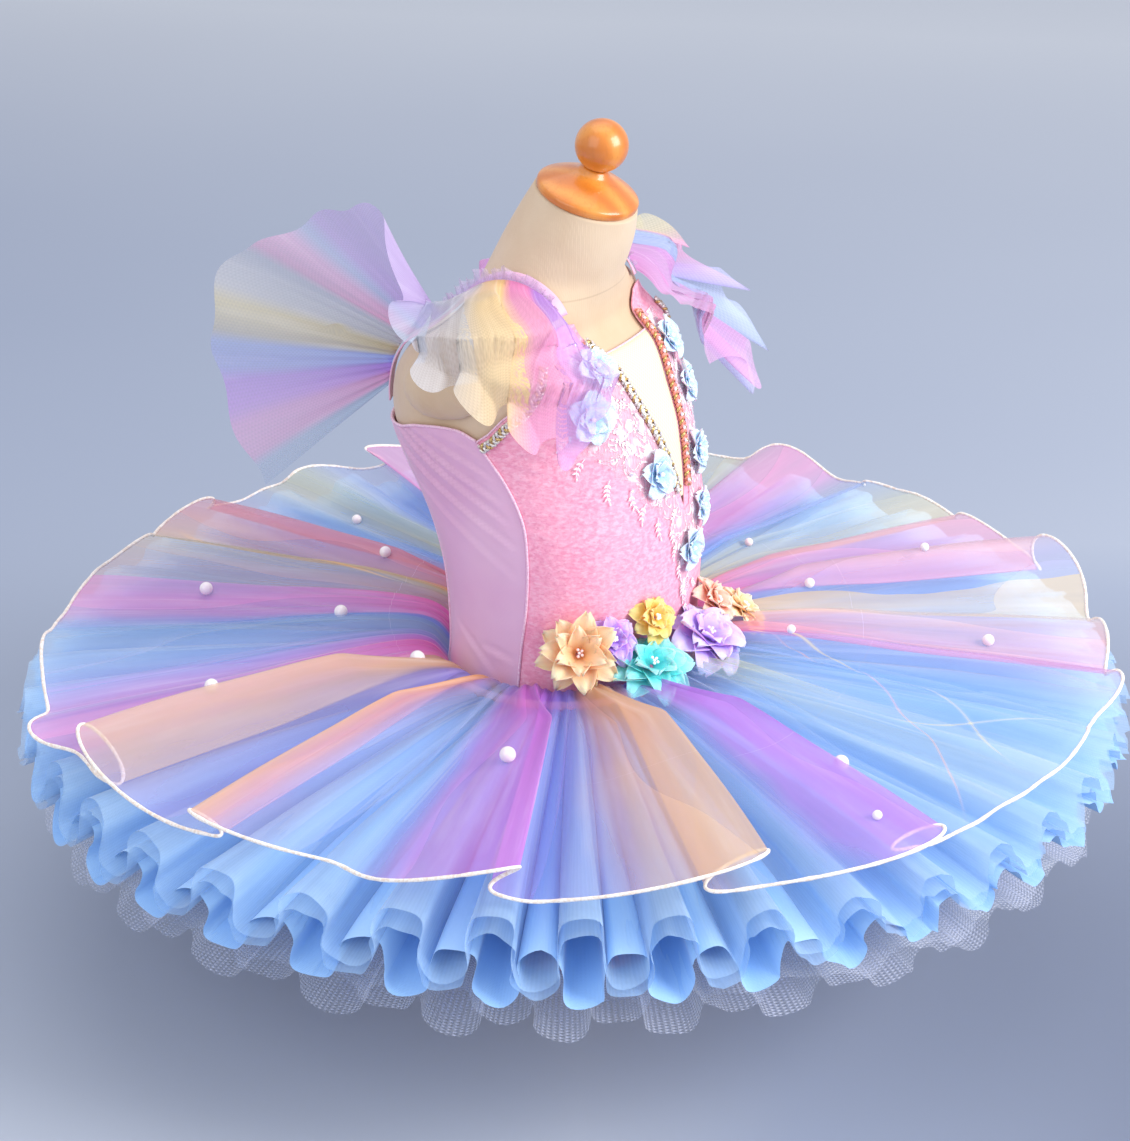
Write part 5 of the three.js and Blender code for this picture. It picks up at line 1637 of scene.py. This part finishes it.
def build_lace():
    for side, label in SIDES:
        level = np.linspace(250, 430, 90)[None, :]
        _, middle, half_width = read_table(NECK_V, level)
        inner = np.where(level > 318, half_width + 6.2, -side * 1.5 * (level < 318))
        outer = read_table(LACE_EDGE, level)[1] + 2.6 * np.abs(np.sin(level * 0.27)) * (level > 256)
        share = np.linspace(0, 1, 40)[:, None]
        x = middle + side * (inner + (np.maximum(outer, inner + 1) - inner) * share)
        grid = front_skin(x, level, BODICE_OUTER + 0.9)
        piece = sheet_piece(f"lace_{label}", grid, flip=side < 0)
        worn(piece, "lace", material=LACE)
    points, outs, aims, sizes, stems = [], [], [], [], []
    for x, height, heading, length, leaves in LACE_SPRAYS:
        heading = math.radians(heading)
        share = np.linspace(0, 1, 9)
        bend = 0.35 * (share**2)
        length *= SPRAY_SCALE
        path_x = x + length * share * np.cos(heading + bend)
        path_z = height + length * share * np.sin(heading + bend)
        stems.append(front_skin(path_x, path_z, BODICE_OUTER + 1.4))
        for k in range(leaves):
            at = 0.25 + 0.75 * k / (leaves - 1)
            for way in ((-1, 1) if k < leaves - 1 else (0,)):
                here_x = x + length * at * math.cos(heading + 0.35 * at**2)
                here_z = height + length * at * math.sin(heading + 0.35 * at**2)
                toward = heading + 0.6 * at + way * 0.75
                here = front_skin(here_x, here_z, BODICE_OUTER + 1.3)
                there = front_skin(here_x + math.cos(toward), here_z + math.sin(toward), BODICE_OUTER + 1.3)
                points.append(here)
                aims.append(unit(there - here))
                outs.append(skin_normal(front_turn(here_x, here_z), here_z))
                sizes.append(0.8 - 0.25 * at)
    leaf = leaf_motif()
    cord("lace_stems", stems, 0.32, WHITE_THREAD, "lace", sides=6)
    motifs("lace_leaves", leaf, points, outs, aims, sizes, WHITE_THREAD, "lace")
    bpy.data.objects.remove(leaf)


def build_sequins(motif):
    """Clear sequins scattered on the lace and the front of the bodice."""
    rng = np.random.default_rng(11)
    height = rng.uniform(330, 436, 120)
    _, middle, half_width = read_table(NECK_V, height)
    side = np.where(np.arange(120) % 2, 1, -1)
    reach = read_table(LACE_EDGE, height)[1]
    x = middle + side * (half_width + 9 + rng.uniform(0, 1, 120) * (reach - half_width - 9))
    points = front_skin(x, height, BODICE_OUTER + 1.7)
    outs = skin_normal(front_turn(x, height), height) + rng.uniform(-0.3, 0.3, (120, 3))
    aims = rng.uniform(-1, 1, (120, 3))
    motifs("scattered_sequins", motif, points, outs, aims, rng.uniform(0.7, 1.1, 120), SEQUIN, "silver_braid")
    bpy.data.objects.remove(motif)


# ------------------------------------------------------------------ the scene
def aim_camera():
    """Places the camera; returns its right and its back, which the lights are placed by."""
    azimuth, elevation, distance = math.radians(-61), math.radians(23.55), 2200
    aside, above = -7.9, 49.1
    back = Vector((math.sin(azimuth) * math.cos(elevation), -math.cos(azimuth) * math.cos(elevation),
                   math.sin(elevation)))
    right = Vector((math.cos(azimuth), math.sin(azimuth), 0))
    up = back.cross(right)
    data = bpy.data.cameras.new("camera")
    data.lens, data.sensor_width = 102.18, 36
    camera = linked("camera", data)
    camera.location = (aside * right + above * up + distance * back + Vector((0, 0, WAIST))) * MM
    camera.rotation_mode = "QUATERNION"
    camera.rotation_quaternion = (-back).to_track_quat("-Z", "Y")
    bpy.context.scene.camera = camera
    return right, back


def add_light(name, place, size, power, colour):
    data = bpy.data.lights.new(name, "AREA")
    data.shape, data.size, data.energy, data.color = "SQUARE", size, power, colour
    light = linked(name, data)
    light.location = place
    light.rotation_mode = "QUATERNION"
    light.rotation_quaternion = (place - Vector((0, 0, 0.25))).to_track_quat("Z", "Y")


def light_studio(right, back):
    add_light("key", right * 2.3 + Vector((0, 0, 1.1)) + back * 1.0, 1.6, 80, (1.0, 0.98, 0.96))
    add_light("fill", right * -1.6 + Vector((0, 0, 0.9)) + back * 2.1, 2.2, 20, (0.96, 0.98, 1.0))
    add_light("top", Vector((0, 0, 3.0)) - back * 0.6, 2.6, 18, (0.98, 0.99, 1.0))
    world = bpy.data.worlds.new("studio")
    world.use_nodes = True
    sky = world.node_tree.nodes["Background"]
    sky.inputs["Color"].default_value = dye("#dfe1ea")
    sky.inputs["Strength"].default_value = 0.92
    bpy.context.scene.world = world
    far = 9000
    corners = [[-far, -far, 0], [far, -far, 0], [far, far, 0], [-far, far, 0]]
    floor = new_piece("studio_floor", corners, [[0, 1, 2, 3]])
    floor.data.materials.append(floor_finish(right, back))
    bpy.context.scene.view_settings.view_transform = "Standard"
    bpy.context.scene.cycles.transparent_max_bounces = 16


light_studio(*aim_camera())
build_torso()
build_stand()
for side, label in SIDES:
    build_arm_plate(side, label)
build_bodice()
sequin = build_trims()
build_lace()
build_sequins(sequin)
for side, label in SIDES:
    build_strap(side, label)
    build_ruffle(side, label)
    build_frill(side, label)
build_net_layers()
build_overlay()
build_flowers()
